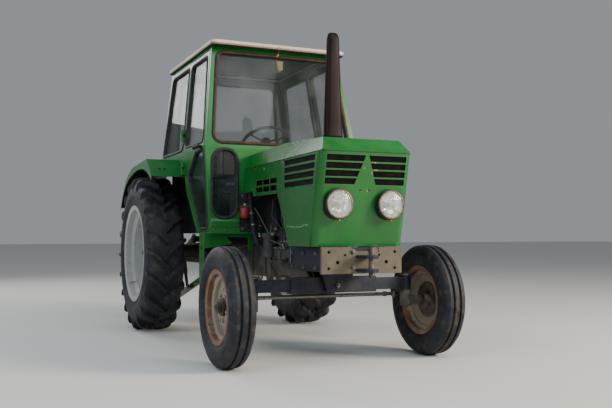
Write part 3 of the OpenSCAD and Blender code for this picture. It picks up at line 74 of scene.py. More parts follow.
AXLE_Y = middle("front_axle_beam").y
SIDES = ((-1, "right"), (1, "left"))
AHEAD, BEHIND, UP, OUT = (Vector(way) for way in ((0, -1, 0), (0, 1, 0), (0, 0, 1), (1, 0, 0)))
REAR_Y, REAR_Z, KINGPIN_X = 2135, 645, 542  # the rear axle and the front wheels' upright pins
AXIS = 0.01  # a radius in millimetres too small to see, where a turned section meets its axis
wheels = {name: (middle("front_tyre_" + name), middle("rear_tyre_" + name)) for side, name in SIDES}


def at(x, y, z):
    """Millimetres, y counted from the front axle, as metres in the frame."""
    return Vector((x / 1000, y / 1000 + AXLE_Y, z / 1000))


def nose_face(z):
    """Where the leaning nose panel stands at a height."""
    return -372 - 123 * (z - 734) / (1291 - 734)


def turns(count):
    """Angles evenly spaced round a circle."""
    return [2 * math.pi * k / count for k in range(count)]


# %% [markdown]
# The cab's walls lean one way above the waist and another way below it. Windows, handles and
# paint all need to know where a wall stands at a height.

# %% The cab's planes
WAIST, FRAME_TOP, FOOT, CAB_FRONT, CAB_BACK = 1434, 2200, 813, 821, 2141
HEAD, SILL, DOOR_Y = FRAME_TOP - 46, WAIST + 32, CAB_FRONT + 40
SIDE_LEAN, FOOT_LEAN, SCREEN_LEAN = (run / rise for run, rise in (
    (88, FRAME_TOP - WAIST), (39, WAIST - FOOT), (152, FRAME_TOP - WAIST)))
SCREEN_OUT = Vector((0, -1, SCREEN_LEAN)).normalized()


def side_x(z):
    return 600 - max(0, z - WAIST) * SIDE_LEAN - max(0, WAIST - z) * FOOT_LEAN


def side_outward(side, z):
    return Vector((side, 0, SIDE_LEAN if z > WAIST else -FOOT_LEAN)).normalized()


def screen_y(z):
    return CAB_FRONT + max(0, z - WAIST) * SCREEN_LEAN


# %% [markdown]
# ## Shader arithmetic
#
# A worn finish is a sum of masks: a little dust here, a chip there. Written as nodes that is
# hard to read, so a small class wraps a socket and lets Python's own + - * ** build the Math
# nodes. Everything else, such as noise or a colour mix, comes from one method, add().

# %% Signals
class Signal:
    """A value that varies over a surface, with arithmetic that adds Math nodes."""

    def __init__(self, finish, socket):
        self.finish, self.socket = finish, socket

    def maths(self, operation, *values):
        return self.finish.add("ShaderNodeMath", {"operation": operation}, dict(enumerate(values)))

    def __add__(self, other): return self.maths("ADD", self, other)
    def __sub__(self, other): return self.maths("SUBTRACT", self, other)
    def __rsub__(self, other): return self.maths("SUBTRACT", other, self)
    def __mul__(self, other): return self.maths("MULTIPLY", self, other)
    def __pow__(self, other): return self.maths("POWER", self, other)

    def positive(self):
        return self.maths("MAXIMUM", self, 0.0)

    def size(self):
        return self.maths("ABSOLUTE", self)

    def sine(self):
        return self.maths("SINE", self)

    def between(self, low, high):
        """0 at low, 1 at high, smooth and clamped."""
        return self.finish.add("ShaderNodeMapRange", {"interpolation_type": "SMOOTHSTEP"},
                               {"Value": self, "From Min": low, "From Max": high})


class Finish:
    """A material on Object coordinates, with its Principled shader."""

    def __init__(self, name, slot=None, **fixed):
        self.material = bpy.data.materials.new(name)
        self.material.use_nodes = True
        self.tree = self.material.node_tree
        self.shader = self.tree.nodes["Principled BSDF"]
        self.place = self.add("ShaderNodeTexCoord", out="Object")
        for socket, value in fixed.items():
            self.shade(socket.replace("_", " "), value)

    def feed(self, socket, value):
        if isinstance(value, Signal):
            self.tree.links.new(value.socket, socket)
        elif hasattr(socket.default_value, "__len__") and not hasattr(value, "__len__"):
            socket.default_value = [value] * len(socket.default_value)
        else:
            socket.default_value = value

    def add(self, kind, settings=None, sockets=None, out=0):
        """Adds a node: first its settings, then its sockets. Gives one output as a Signal."""
        node = self.tree.nodes.new(kind)
        for key, value in (settings or {}).items():
            setattr(node, key, value)
        for key, value in (sockets or {}).items():
            self.feed(node.inputs[key], value)
        return Signal(self, node.outputs[out])

    def shade(self, socket, value):
        self.feed(self.shader.inputs[socket], value)

    def noise(self, scale, detail=3.0, stretch=None, seed=0.0):
        place = self.place
        if stretch or seed:
            place = self.add("ShaderNodeMapping", None, {
                "Vector": place, "Scale": stretch or (1, 1, 1), "Location": (seed, seed * 1.7, -seed)})
        return self.add("ShaderNodeTexNoise", None, {
            "Vector": place, "Scale": scale, "Detail": detail, "Roughness": 0.55})

    def along(self, axis):
        """The place along one axis, in metres."""
        return self.add("ShaderNodeSeparateXYZ", None, {"Vector": self.place}, out=axis)

    def height(self):
        """Height above the ground."""
        return self.along("Z")

    def grid(self, pitch, *axes):
        """Waves along the axes taken together, crossed with waves upward: 0 on each line of the grid."""
        across = self.along(axes[0])
        for axis in axes[1:]:
            across = across + self.along(axis)
        waves = [(place * (math.pi / pitch)).sine().size() for place in (across, self.height())]
        return waves[0] * waves[1]

    def vectors(self, operation, *values, out=0):
        return self.add("ShaderNodeVectorMath", {"operation": operation}, dict(enumerate(values)), out=out)

    def off_axle(self, hub):
        """Distance from a wheel's axle, which runs across the tractor through its hub."""
        away = self.vectors("MULTIPLY", self.vectors("SUBTRACT", self.place, hub), (0.0, 1.0, 1.0))
        return self.vectors("LENGTH", away, out="Value")

    def facing(self, axis):
        """How far the surface looks along one axis, from -1 to 1."""
        normal = self.add("ShaderNodeTexCoord", out="Normal")
        return self.add("ShaderNodeSeparateXYZ", None, {"Vector": normal}, out=axis)

    def facing_up(self):
        """1 where the surface looks up, 0 where it is upright."""
        return self.facing("Z").between(0.2, 0.95)

    def mix(self, mask, first, second):
        """The first colour where mask is 0, the second where it is 1."""
        first, second = [value if isinstance(value, Signal) else (*value, 1.0) for value in (first, second)]
        return self.add("ShaderNodeMix", {"data_type": "RGBA"}, {0: mask, 6: first, 7: second}, out=2)

    def corners(self, radius):
        """1 on edges that stick out within the radius, 0 on flat places."""
        soft = self.add("ShaderNodeBevel", {"samples": 4}, {"Radius": radius})
        hard = self.add("ShaderNodeNewGeometry", out="Normal")
        return self.vectors("DISTANCE", soft, hard, out="Value")

    def bump(self, height, strength=0.3, distance=0.001):
        self.shade("Normal", self.add("ShaderNodeBump", None, {
            "Height": height, "Strength": strength, "Distance": distance}))


# %% [markdown]
# ## Old paint
#
# The green has faded unevenly in the sun. Dust settles on what looks up and climbs from the
# ground, and the edges have lost chips of paint down to a rusty brown. Each effect is one
# mask, and the masks mix colours one after another.

# %% Painted sheet
RUST = (0.14, 0.050, 0.022)
DUST = (0.30, 0.25, 0.17)
PAINTED_EDGE_HIGHLIGHT = (0.085, 0.300, 0.110)


def paint(name, slot, fresh, faded, rough=0.40, dust=0.35, chips=0.5, grime=0.4, low_dust=0.9, second=None,
          edge=None, gloss=0.5):
    """Worn paint. second(finish, colour) may lay more colour over part of the piece: a scratch and chips, or
    painted shade. edge, if given, is a painted highlight along the piece's edges.
    """
    f = Finish(name, slot, Specular_IOR_Level=gloss)
    cloudy = f.noise(2.3, 4.0).between(0.35, 0.68)
    streaks = f.noise(9.0, 3.0, stretch=(1.0, 1.0, 0.16), seed=3.0).between(0.45, 0.75)
    colour = f.mix(cloudy, fresh, faded)
    colour = f.mix(streaks * 0.22, colour, tuple(v * 0.55 for v in fresh))
    if second:
        colour = second(f, colour)
    stain = f.noise(26.0, 4.0, seed=7.0).between(0.58, 0.80) * grime
    colour = f.mix(stain, colour, (0.030, 0.030, 0.022))
    ground = (1.0 - f.height().between(0.35, low_dust)) * f.noise(14.0, 3.0, seed=5.0).between(0.30, 0.75)
    top = f.facing_up() * f.noise(11.0, 4.0, seed=9.0).between(0.35, 0.75) * 0.5
    dusty = (ground + top) * dust
    colour = f.mix(dusty, colour, DUST)
    corner = f.corners(0.004)
    # Painted highlight: edges turn a paler green, as where they catch the light.
    if edge:
        colour = f.mix(corner.between(0.12, 0.45) * 0.55, colour, edge)
    worn = (corner * 1.4 + f.noise(95.0, 2.0, seed=2.0) - 0.42).between(0.62, 0.74) * chips
    colour = f.mix(worn, colour, RUST)
    f.shade("Base Color", colour)
    f.shade("Roughness", cloudy * 0.10 + dusty * 0.5 + worn * 0.4 + rough)
    f.bump(f.noise(3.5, 1.0, seed=4.0) * 0.4 + f.noise(420.0, 1.0) * 0.02 - worn * 0.06, 0.35, 0.004)
    return f.material


# %% Painted shade in the cab, under the fenders and under the roof
def painted_shade_inside_cab(f, colour):
    """Painted shade: dark grey-green on the cab's inner faces."""
    waist = WAIST / 1000
    rise, fall = (f.height() - waist).positive(), (waist - f.height()).positive()
    ahead = f.along("Y") - AXLE_Y
    side = side_x(WAIST) / 1000 - rise * SIDE_LEAN - fall * FOOT_LEAN - f.along("X").size()
    front, back = ahead - CAB_FRONT / 1000 - rise * SCREEN_LEAN, CAB_BACK / 1000 - ahead
    mask = side.between(0.006, 0.012) * front.between(0.006, 0.012) * back.between(0.006, 0.012)
    return f.mix(mask, colour, (0.022, 0.034, 0.026))


def painted_shade_under_fenders(f, colour):
    """Painted shade: near black under the fenders, on the wall beside the tyre and on faces turned inward."""
    under = (0.0 - f.facing("Z")).between(0.1, 0.4)
    wall = (0.5125 - f.along("X").size()).between(0.0, 0.002)
    inner = (0.0 - f.facing("X") * f.along("X")).between(0.25, 0.5)
    mask = (under + wall + inner).between(0.3, 0.7)
    return f.mix(mask, colour, (0.010, 0.010, 0.012))


def roof_underside_painted_shade(f, colour):
    """Painted shade on the roof's underside: dark below, and a brown painted shadow along its edge."""
    under = (0.0 - f.facing("Z")).between(0.2, 0.6)
    edge = (2.206 - f.height()).between(0.0, 0.004)
    colour = f.mix(edge * 0.85, colour, (0.120, 0.055, 0.028))
    return f.mix(under, colour, (0.050, 0.045, 0.034))


# %% Second coats of the rims
def rusty_flange(f, colour):
    """Rust has taken the flange outside the bead, and grease the hub."""
    ragged = f.off_axle(middle("front_rim_left")) + f.noise(18.0, 4.0, seed=6.0) * 0.03
    patchy = f.noise(9.0, 4.0, seed=11.0).between(0.25, 0.60) * 0.55 + 0.40
    colour = f.mix(ragged.between(0.206, 0.214) * patchy, colour, (0.150, 0.050, 0.020))
    return f.mix(1.0 - ragged.between(0.066, 0.074), colour, (0.030, 0.024, 0.020))


def greasy_hub(f, colour):
    ragged = f.off_axle(middle("rear_rim_left")) + f.noise(14.0, 4.0, seed=6.0) * 0.04
    return f.mix(1.0 - ragged.between(0.095, 0.115), colour, (0.030, 0.028, 0.028))


# %% [markdown]
# The hood has been bumped and brushed against: a wavy pale scratch runs along the foot of each
# side panel, and the nose has lost paint in round chips, rusty in the middle.

# %% Scratch and chips on the hood
NOSE_CHIPS = ((52, 1222, 9), (66, 1196, 13), (40, 1168, 3), (-14, 1196, 1), (22, 1064, 4), (-24, 1062, 2),
              (-60, 790, 1))


def scuffed(f, colour):
    """Pale scratch across the lower front of each side panel, and chips (x, z, radius) on the nose."""
    wave = f.noise(5.5, 2.0, stretch=(1.0, 1.0, 0.0), seed=8.0)
    line = (f.height() - 0.828 - wave * 0.060).size()
    ahead = f.along("Y") - AXLE_Y
    mask = (0.0050 - line).between(0.0, 0.003)
    mask = mask * (ahead + 0.328).between(0.0, 0.03) * (0.045 - ahead).between(0.0, 0.05)
    mask = mask * f.noise(40.0, 3.0, seed=1.0).between(0.35, 0.5)
    mask = mask * (f.along("X").size() - 0.28).between(0.0, 0.01)
    colour = f.mix(mask * 0.75, colour, (0.22, 0.34, 0.20))
    for x, z, radius in NOSE_CHIPS:
        away = f.vectors("DISTANCE", f.place, at(x, nose_face(z), z), out="Value")
        ragged = radius - away * 1000.0 + (f.noise(70.0, 4.0, seed=x * 0.1) - 0.5) * 46.0
        colour = f.mix(ragged.between(0.0, 1.5), colour, (0.42, 0.33, 0.22))
        colour = f.mix(ragged.between(3.0, 5.0), colour, (0.30, 0.085, 0.022))
    return colour


# %% The paints
GREEN = paint("faded green enamel", "green_paint", (0.001, 0.098, 0.008), (0.003, 0.135, 0.019), rough=0.27,
              dust=0.12, grime=0.3, low_dust=0.80, second=scuffed, edge=PAINTED_EDGE_HIGHLIGHT)
CAB_GREEN = paint("green cab enamel", "green_paint", (0.003, 0.112, 0.010), (0.007, 0.150, 0.022), rough=0.30,
                  dust=0.12, grime=0.3, second=painted_shade_inside_cab, edge=PAINTED_EDGE_HIGHLIGHT)
FENDER_GREEN = paint("green fender enamel", "green_paint", (0.002, 0.120, 0.014), (0.005, 0.160, 0.030),
                     rough=0.30, dust=0.14, grime=0.3, second=painted_shade_under_fenders, edge=PAINTED_EDGE_HIGHLIGHT)
CREAM = paint("cream roof paint", "cream_paint", (0.62, 0.54, 0.41), (0.52, 0.44, 0.32), rough=0.6, grime=0.5,
              second=roof_underside_painted_shade)
BLACK = paint("blue black chassis paint", "black_paint", (0.005, 0.008, 0.020), (0.011, 0.015, 0.030), rough=0.45,
              dust=0.10, chips=0.3, gloss=0.3)
PLATE = paint("tan weight plate", "grey_plate", (0.066, 0.051, 0.033), (0.105, 0.082, 0.054), rough=0.60,
              chips=0.8)
IRON = paint("oily castings", "dark_iron", (0.016, 0.017, 0.021), (0.030, 0.030, 0.032), rough=0.55, dust=0.45,
             grime=0.8, chips=0.2)
RIM_FRONT = paint("stained beige rim", "rim_beige", (0.25, 0.20, 0.15), (0.33, 0.27, 0.21), rough=0.55, dust=0.25,
                  grime=0.5, second=rusty_flange)
RIM_REAR = paint("silver grey rim", "rim_silver", (0.36, 0.36, 0.35), (0.44, 0.44, 0.42), rough=0.45, dust=0.25,
                 grime=0.5, second=greasy_hub)
BOWL = paint("black lamp bowl", "lamp_black", (0.008, 0.008, 0.009), (0.014, 0.014, 0.015), rough=0.35, dust=0.1,
             chips=0.2)

# %% [markdown]
# ## Rubber, glass and bare metal
#
# Tyres are never plain black: dried mud keeps in their grooves and the sidewalls grey out.
# Window glass is almost clear with a film of dust, and bare steel is dull and oily.

# %% Rubber, glass and metal
def tyre_rubber(name):
    """Black rubber with dried mud."""
    f = Finish(name, "tyre_rubber", Specular_IOR_Level=0.35)
    cloudy = f.noise(7.0, 5.0).between(0.30, 0.72)
    colour = f.mix(cloudy, (0.007, 0.008, 0.013), (0.022, 0.023, 0.028))
    mud = f.noise(22.0, 5.0, seed=4.0).between(0.48, 0.72) * 0.42
    colour = f.mix(mud, colour, (0.115, 0.085, 0.050))
    f.shade("Base Color", colour)
    f.shade("Roughness", mud * 0.25 + 0.62)
    f.bump(f.noise(60.0, 4.0) + mud * 0.6, 0.35, 0.002)
    return f.material


def dull_rubber(name, slot, colour, lighter):
    f = Finish(name, slot, Specular_IOR_Level=0.3)
    f.shade("Base Color", f.mix(f.noise(30.0, 4.0).between(0.35, 0.75), colour, lighter))
    f.shade("Roughness", f.noise(50.0, 2.0) * 0.2 + 0.55)
    f.bump(f.noise(160.0, 3.0), 0.2, 0.001)
    return f.material


def window_glass(name, slot, tint, clear=0.22, film_strength=0.10):
    f = Finish(name, slot, IOR=1.45, Roughness=0.03, Specular_IOR_Level=0.6)
    film = f.noise(5.0, 5.0).between(0.35, 0.80)
    f.shade("Base Color", f.mix(film, tint, tuple(0.5 * v + 0.10 for v in tint)))
    f.shade("Alpha", film * film_strength + clear)
    return f.material


def metal(name, slot, colour, stain, rough, scale=40.0):
    f = Finish(name, slot, Metallic=0.9)
    rust = f.noise(scale, 5.0).between(0.48, 0.72)
    f.shade("Base Color", f.mix(rust * 0.7, colour, stain))
    f.shade("Roughness", rust * 0.3 + rough)
    f.bump(f.noise(scale * 5, 2.0), 0.2, 0.0006)
    return f.material


# %% The rubbers, the glass and the metals
TYRE = tyre_rubber("muddy tyre rubber")
RUBBER = dull_rubber("black window rubber", "window_rubber", (0.010, 0.010, 0.011), (0.030, 0.029, 0.028))
SCREEN_RUBBER = dull_rubber("rust stained filler strip", "window_rubber", (0.026, 0.012, 0.007),
                            (0.085, 0.030, 0.010))
PLASTIC = dull_rubber("black wheel plastic", "wheel_plastic", (0.009, 0.009, 0.010), (0.022, 0.022, 0.022))
GLASS = window_glass("dusty cab glass", "cab_glass", (0.030, 0.045, 0.040))
STEEL = metal("worn steel", "bare_steel", (0.20, 0.19, 0.18), (0.085, 0.045, 0.025), 0.42)
FINS = metal("cylinder fins", "iron_fins", (0.16, 0.16, 0.165), (0.060, 0.045, 0.035), 0.5)

# %% [markdown]
# ## Taking over a CAD piece
#
# A CAD mesh is made of loose triangles with knife edges. Real sheet metal has bent edges
# that catch the light, so each piece is copied, its corners are joined, its flat faces are
# made whole again, and its edges get a small round.

# %% Meshes and objects
def shell(node):
    """A clean copy of a CAD node's mesh."""
    bm = bmesh.new()
    bm.from_mesh(frame["nodes"][node].data)
    bmesh.ops.remove_doubles(bm, verts=bm.verts, dist=0.00002)
    bmesh.ops.dissolve_limit(bm, angle_limit=math.radians(0.6), verts=bm.verts, edges=bm.edges,
                             delimit=set())
    bmesh.ops.triangulate(bm, faces=[face for face in bm.faces if len(face.verts) > 24])
    return bm


def joined(*parts):
    """Several bmeshes as one."""
    whole = bmesh.new()
    for part in parts:
        mesh = bpy.data.meshes.new("part")
        part.to_mesh(mesh)
        part.free()
        whole.from_mesh(mesh)
        bpy.data.meshes.remove(mesh)
    return whole


def linked(name, bm):
    """A new object in the scene with a bmesh's mesh."""
    mesh = bpy.data.meshes.new(name)
    bm.to_mesh(mesh)
    bm.free()
    piece = bpy.data.objects.new(name, mesh)
    bpy.context.scene.collection.objects.link(piece)
    return piece


# %% Helpers that make pieces
def fit(name, finish, *parts, body="chassis", nodes=(), smooth=35, bevel=0.0):
    """Joins parts into one piece that rides on a body and may stand for nodes of the CAD model."""
    piece = linked(name, joined(*parts))
    piece.data.shade_smooth()
    piece.data.set_sharp_from_angle(angle=math.radians(smooth))
    piece.data.materials.clear()
    piece.data.materials.append(finish)
    if bevel:
        edge = piece.modifiers.new("edges", "BEVEL")
        edge.width, edge.segments, edge.limit_method = bevel, 2, "ANGLE"
        edge.angle_limit, edge.use_clamp_overlap = math.radians(32), True
        piece.modifiers.new("shading", "WEIGHTED_NORMAL").keep_sharp = False
    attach(piece, body)
    if nodes:
        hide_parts(*nodes)
    return piece


def dress(node, finish, bevel):
    bodies = frame["record"]["behaviour"]["bodies"]
    body = next(body for body, members in bodies.items() if node in members)
    return fit(node + "_shown", finish, shell(node), body=body, nodes=[node], bevel=bevel)


# %% [markdown]
# Three ways of drawing cover most of the small pieces. A lathe turns a section round the X
# axis, as wheels are. A tube follows points, as pipes and levers do. A sweep carries a
# section round the edge of an opening, as window rubber does. All three lay points out in
# rings, and one function puts the skin over them.

# %% Skin and lathe
def skinned(rings, along=False, around=True, caps=False, weld=False):
    """A skin over rings of points in metres. Along joins the last ring to the first, around
    joins the ends of each ring, and weld draws points together that lie on one spot."""
    bm = bmesh.new()
    rings = [[bm.verts.new(point) for point in ring] for ring in rings]
    for here, there in zip(rings, rings[1:] + rings[:1] if along else rings[1:]):
        for k in range(len(here) if around else len(here) - 1):
            j = (k + 1) % len(here)
            bm.faces.new((here[k], here[j], there[j], there[k]))
    if caps:
        bm.faces.new(rings[0][::-1])
        bm.faces.new(rings[-1])
    if weld:
        bmesh.ops.remove_doubles(bm, verts=bm.verts, dist=0.00001)
    bmesh.ops.recalc_face_normals(bm, faces=bm.faces)
    return bm


def lathe(section, centre, steps=96, closed=True):
    """Turns (radius, x) points in millimetres round the X axis through centre."""
    rings = [[centre + Vector((x, r * math.cos(turn), r * math.sin(turn))) / 1000 for r, x in section]
             for turn in turns(steps)]
    return skinned(rings, along=True, around=closed, weld=True)


def turned(bm, about, axis):
    """Turns what the lathe made, so that its X axis looks along another direction."""
    spin = OUT.rotation_difference(Vector(axis)).to_matrix().to_4x4()
    bmesh.ops.transform(bm, verts=bm.verts,
                        matrix=Matrix.Translation(about) @ spin @ Matrix.Translation(-about))
    return bm


# %% Tube and curve
def tube(points, radius, sides=10):
    """A round bar along points in metres. The radius may be a list, one for each point."""
    radii = radius if isinstance(radius, (list, tuple)) else [radius] * len(points)
    side = (points[1] - points[0]).orthogonal().normalized()
    rings = []
    for i, point in enumerate(points):
        ahead = (points[min(i + 1, len(points) - 1)] - points[max(i - 1, 0)]).normalized()
        side = (side - ahead * side.dot(ahead)).normalized()
        other = ahead.cross(side)
        rings.append([point + (side * math.cos(a) + other * math.sin(a)) * radii[i] / 1000
                      for a in turns(sides)])
    return skinned(rings, caps=True)


def bend(points, steps=6):
    """Rounds a polyline: a smooth curve through points in metres."""
    path = [points[0] * 2 - points[1]] + list(points) + [points[-1] * 2 - points[-2]]
    smooth = []
    for a, b, c, d in zip(path, path[1:], path[2:], path[3:]):
        for k in range(steps):
            t = k / steps
            smooth.append(0.5 * ((2 * b) + (c - a) * t + (2 * a - 5 * b + 4 * c - d) * t * t
                                 + (3 * b - a - 3 * c + d) * t ** 3))
    return smooth + [points[-1]]


# %% Sweep, outlines and solids
def sweep(loop, outward, section):
    """Carries a closed (inward, outward) section in millimetres round a closed flat loop."""
    centre = sum(loop, Vector()) / len(loop)
    rings = []
    for i, point in enumerate(loop):
        ahead = (loop[(i + 1) % len(loop)] - loop[i - 1]).normalized()
        inward = ahead.cross(outward).normalized()
        if inward.dot(centre - point) < 0:
            inward = -inward
        rings.append([point + (inward * u + outward * v) / 1000 for u, v in section])
    return skinned(rings, along=True)


def rounded_outline(corners, radius, steps=7):
    """2-D corners in millimetres, rounded."""
    points = []
    for i, corner in enumerate(corners):
        corner = Vector(corner)
        back = (Vector(corners[i - 1]) - corner).normalized()
        ahead = (Vector(corners[(i + 1) % len(corners)]) - corner).normalized()
        half = back.angle(ahead) / 2
        centre = corner + (back + ahead).normalized() * radius / math.sin(half)
        start, end = [(corner + way * radius / math.tan(half) - centre) / radius for way in (back, ahead)]
        whole = start.angle(end)
        for part in (whole * k / steps for k in range(steps + 1)):
            arm = (start * math.sin(whole - part) + end * math.sin(part)) / math.sin(whole)
            points.append(centre + arm * radius)
    return points


def slab(low, high):
    """A box between two corners in metres."""
    bm = bmesh.new()
    bmesh.ops.create_cube(bm, size=1)
    for v in bm.verts:
        v.co = Vector((v.co[i] + 0.5) * (high[i] - low[i]) + low[i] for i in range(3))
    return bm


def cut_out(outline, start, end, place):
    """A flat outline made solid between two depths; place turns (u, v, depth) into metres."""
    return skinned([[place(u, v, depth) for u, v in outline] for depth in (start, end)], caps=True)


# %% [markdown]
# Nuts, screws and tyre lugs repeat. Geometry Nodes place them: one tree copies whatever mesh
# it is given round an axle, and another puts a screw head on every point that it is given,
# each looking along the direction stored with the point.

# %% Helpers for node trees
def new_tree(name, inputs):
    tree = bpy.data.node_groups.new(name, "GeometryNodeTree")
    tree.interface.new_socket("Geometry", in_out="INPUT", socket_type="NodeSocketGeometry")
    named = {label: tree.interface.new_socket(label, in_out="INPUT", socket_type=kind)
             for label, kind in inputs.items()}
    tree.interface.new_socket("Geometry", in_out="OUTPUT", socket_type="NodeSocketGeometry")
    return tree, named


def link(tree, kind, settings=None, **sockets):
    node = tree.nodes.new(kind)
    for key, value in (settings or {}).items():
        setattr(node, key, value)
    for key, value in sockets.items():
        socket = node.inputs[key.replace("_", " ")]
        if isinstance(value, bpy.types.NodeSocket):
            tree.links.new(value, socket)
        else:
            socket.default_value = value
    return node


def maths(tree, operation, *values):
    """A Math node on sockets or numbers."""
    node = link(tree, "ShaderNodeMath", {"operation": operation})
    for given, value in zip(node.inputs, values):
        if isinstance(value, bpy.types.NodeSocket):
            tree.links.new(value, given)
        else:
            given.default_value = value
    return node.outputs[0]


def finish_tree(tree, instances, material):
    real = link(tree, "GeometryNodeRealizeInstances", Geometry=instances)
    dressed = link(tree, "GeometryNodeSetMaterial", Geometry=real.outputs[0], Material=material)
    tree.links.new(dressed.outputs[0], link(tree, "NodeGroupOutput").inputs[0])


# %% Copies round an axle
def round_axle_tree():
    """Copies of what it is given, evenly spaced round the X axis through a centre."""
    tree, named = new_tree("copies round an axle", {
        "Count": "NodeSocketInt", "Centre": "NodeSocketVector", "First angle": "NodeSocketFloat",
        "Material": "NodeSocketMaterial"})
    given = link(tree, "NodeGroupInput").outputs
    index = link(tree, "GeometryNodeInputIndex").outputs[0]
    step = maths(tree, "DIVIDE", 2 * math.pi, given["Count"])
    turn = maths(tree, "MULTIPLY_ADD", index, step, given["First angle"])
    angles = link(tree, "ShaderNodeCombineXYZ", X=turn)
    line = link(tree, "GeometryNodeMeshLine", {"mode": "OFFSET"}, Count=given["Count"],
                Start_Location=given["Centre"], Offset=(0, 0, 0))
    copies = link(tree, "GeometryNodeInstanceOnPoints", Points=line.outputs[0], Instance=given["Geometry"],
                  Rotation=angles.outputs[0])
    finish_tree(tree, copies.outputs[0], given["Material"])
    return tree, named


# %% Heads on points
def screw_tree():
    """A chamfered head on a thin washer, at each point and along its direction."""
    tree, named = new_tree("heads on points", {
        "Radius": "NodeSocketFloat", "Height": "NodeSocketFloat", "Sides": "NodeSocketInt",
        "Material": "NodeSocketMaterial"})
    given = link(tree, "NodeGroupInput").outputs
    out = link(tree, "GeometryNodeInputNamedAttribute", {"data_type": "FLOAT_VECTOR"}, Name="out")
    aim = link(tree, "FunctionNodeAlignEulerToVector", {"axis": "Z"}, Vector=out.outputs[0])
    washer = link(tree, "GeometryNodeMeshCylinder", Vertices=16,
                  Radius=maths(tree, "MULTIPLY", given["Radius"], 1.28),
                  Depth=maths(tree, "MULTIPLY", given["Height"], 0.6))
    head = link(tree, "GeometryNodeMeshCone", Vertices=given["Sides"], Radius_Bottom=given["Radius"],
                Radius_Top=maths(tree, "MULTIPLY", given["Radius"], 0.86), Depth=given["Height"])
    whole = link(tree, "GeometryNodeJoinGeometry")
    for part in (washer, head):
        tree.links.new(part.outputs[0], whole.inputs[0])
    copies = link(tree, "GeometryNodeInstanceOnPoints", Points=given["Geometry"], Instance=whole.outputs[0],
                  Rotation=aim.outputs[0])
    finish_tree(tree, copies.outputs[0], given["Material"])
    return tree, named


ROUND_AXLE, SCREWS = round_axle_tree(), screw_tree()


# %% Run a tree
def evaluated_mesh(piece):
    """The mesh that a piece's modifiers make."""
    bpy.context.view_layer.update()
    return bpy.data.meshes.new_from_object(piece.evaluated_get(bpy.context.evaluated_depsgraph_get()))


def grown(bm, tree_and_names, **values):
    """Runs a tree on a bmesh and gives the result as a bmesh."""
    tree, named = tree_and_names
    seed = linked("seed", bm)
    modifier = seed.modifiers.new("grow", "NODES")
    modifier.node_group = tree
    for label, value in values.items():
        modifier[named[label.replace("_", " ")].identifier] = value
    result = evaluated_mesh(seed)
    bm = bmesh.new()
    bm.from_mesh(result)
    for used in (seed.data, result):
        bpy.data.meshes.remove(used)
    return bm


def bolts(places, radius, height, material, sides=6):
    """Heads at (point, direction) pairs, all in millimetres."""
    bm = bmesh.new()
    out = bm.verts.layers.float_vector.new("out")
    for point, direction in places:
        bm.verts.new(at(*point))[out] = Vector(direction).normalized()
    return grown(bm, SCREWS, Radius=radius / 1000, Height=height / 1000, Sides=sides, Material=material)


# %% [markdown]
# ## Wheels
#
# The front tyres carry three plain ribs, which steer well in soil. The rear tyres carry
# slanting lugs that leave the middle of the tread first and clean themselves as they roll.
# Both are turned on the lathe; the lugs are one bar that the tree copies twenty times for each side of the tread.

# %% Tyres
def tyre_section(outside, inside):
    """The whole section of a tyre from its half: (radius, x) points up the outside and down the inside."""
    return outside + [(r, -x) for r, x in outside[::-1]] + [(r, -x) for r, x in inside[::-1]] + inside


FRONT_SECTION = tyre_section(
    [(208, 47), (214, 53), (228, 57), (236, 63), (240, 64), (246, 69), (270, 78), (296, 81.5), (300, 82.4),
     (306, 82.4), (310, 81.2), (330, 77), (346, 70), (355, 62), (360, 55), (364, 50), (365.6, 34), (363, 31),
     (354, 28.5), (352.6, 24), (354, 19.5), (364, 17), (367.3, 14)],
    [(345, 14), (340, 55), (300, 64), (240, 50), (208, 34)])
REAR_SECTION = tyre_section(
    [(374, 126), (384, 131), (402, 133), (414, 141), (420, 141), (430, 145), (470, 154), (478, 156.4),
     (492, 156.6), (500, 155), (530, 153), (560, 146), (584, 133), (598, 112), (604, 84), (606, 40), (607, 0)],
    [(590, 60), (575, 115), (530, 132), (460, 132), (376, 106)])


def lug(side):
    """One lug: (base radius, base x, top radius, top x, lag behind the middle) along its length."""
    stations = [(600, -4, 644, -5, 0), (603, 20, 645, 20, 22), (602, 55, 645, 56, 58), (598, 88, 643, 92, 88),
                (586, 110, 637, 122, 106), (570, 126, 624, 143, 116), (552, 138, 604, 154, 121),
                (532, 144, 578, 157, 124), (516, 148, 548, 156.8, 126)]
    rings = []
    for n, (foot, foot_x, top, top_x, lag) in enumerate(stations):
        widen, ring = 1 - 0.12 * n / len(stations), []
        for r, x, reach in ((foot, foot_x, -27), (top, top_x, -17), (top, top_x, 17), (foot, foot_x, 27)):
            turn = (-lag + reach * widen) / 620
            ring.append(Vector((side * x, r * math.cos(turn), r * math.sin(turn))) / 1000)
        rings.append(ring)
    bm = skinned(rings, caps=True)
    bmesh.ops.bevel(bm, geom=[e for e in bm.edges if e.calc_face_angle(0) > 0.5], offset=0.004, segments=2,
                    affect="EDGES", clamp_overlap=True)
    return bm


for side, name in SIDES:
    front, rear = wheels[name]
    fit("front_tyre_ribbed_" + name, TYRE, lathe(FRONT_SECTION, front), body="front_wheel_" + name,
        nodes=["front_tyre_" + name], smooth=28)
    lugs = [grown(lug(way), ROUND_AXLE, Count=20, Centre=rear, First_angle=start, Material=TYRE)
            for way, start in ((1, 0.0), (-1, math.pi / 20))]
    fit("rear_tyre_lugged_" + name, TYRE, lathe(REAR_SECTION, rear), *lugs, body="rear_wheel_" + name,
        nodes=["rear_tyre_" + name], smooth=32)

# %% [markdown]
# ## Bodywork, cab and running gear
#
# Most of the tractor is exactly what the CAD model says, with rounder edges and a finish. Each
# row below holds a finish, the width of the rounding in millimetres and the pieces it goes on.

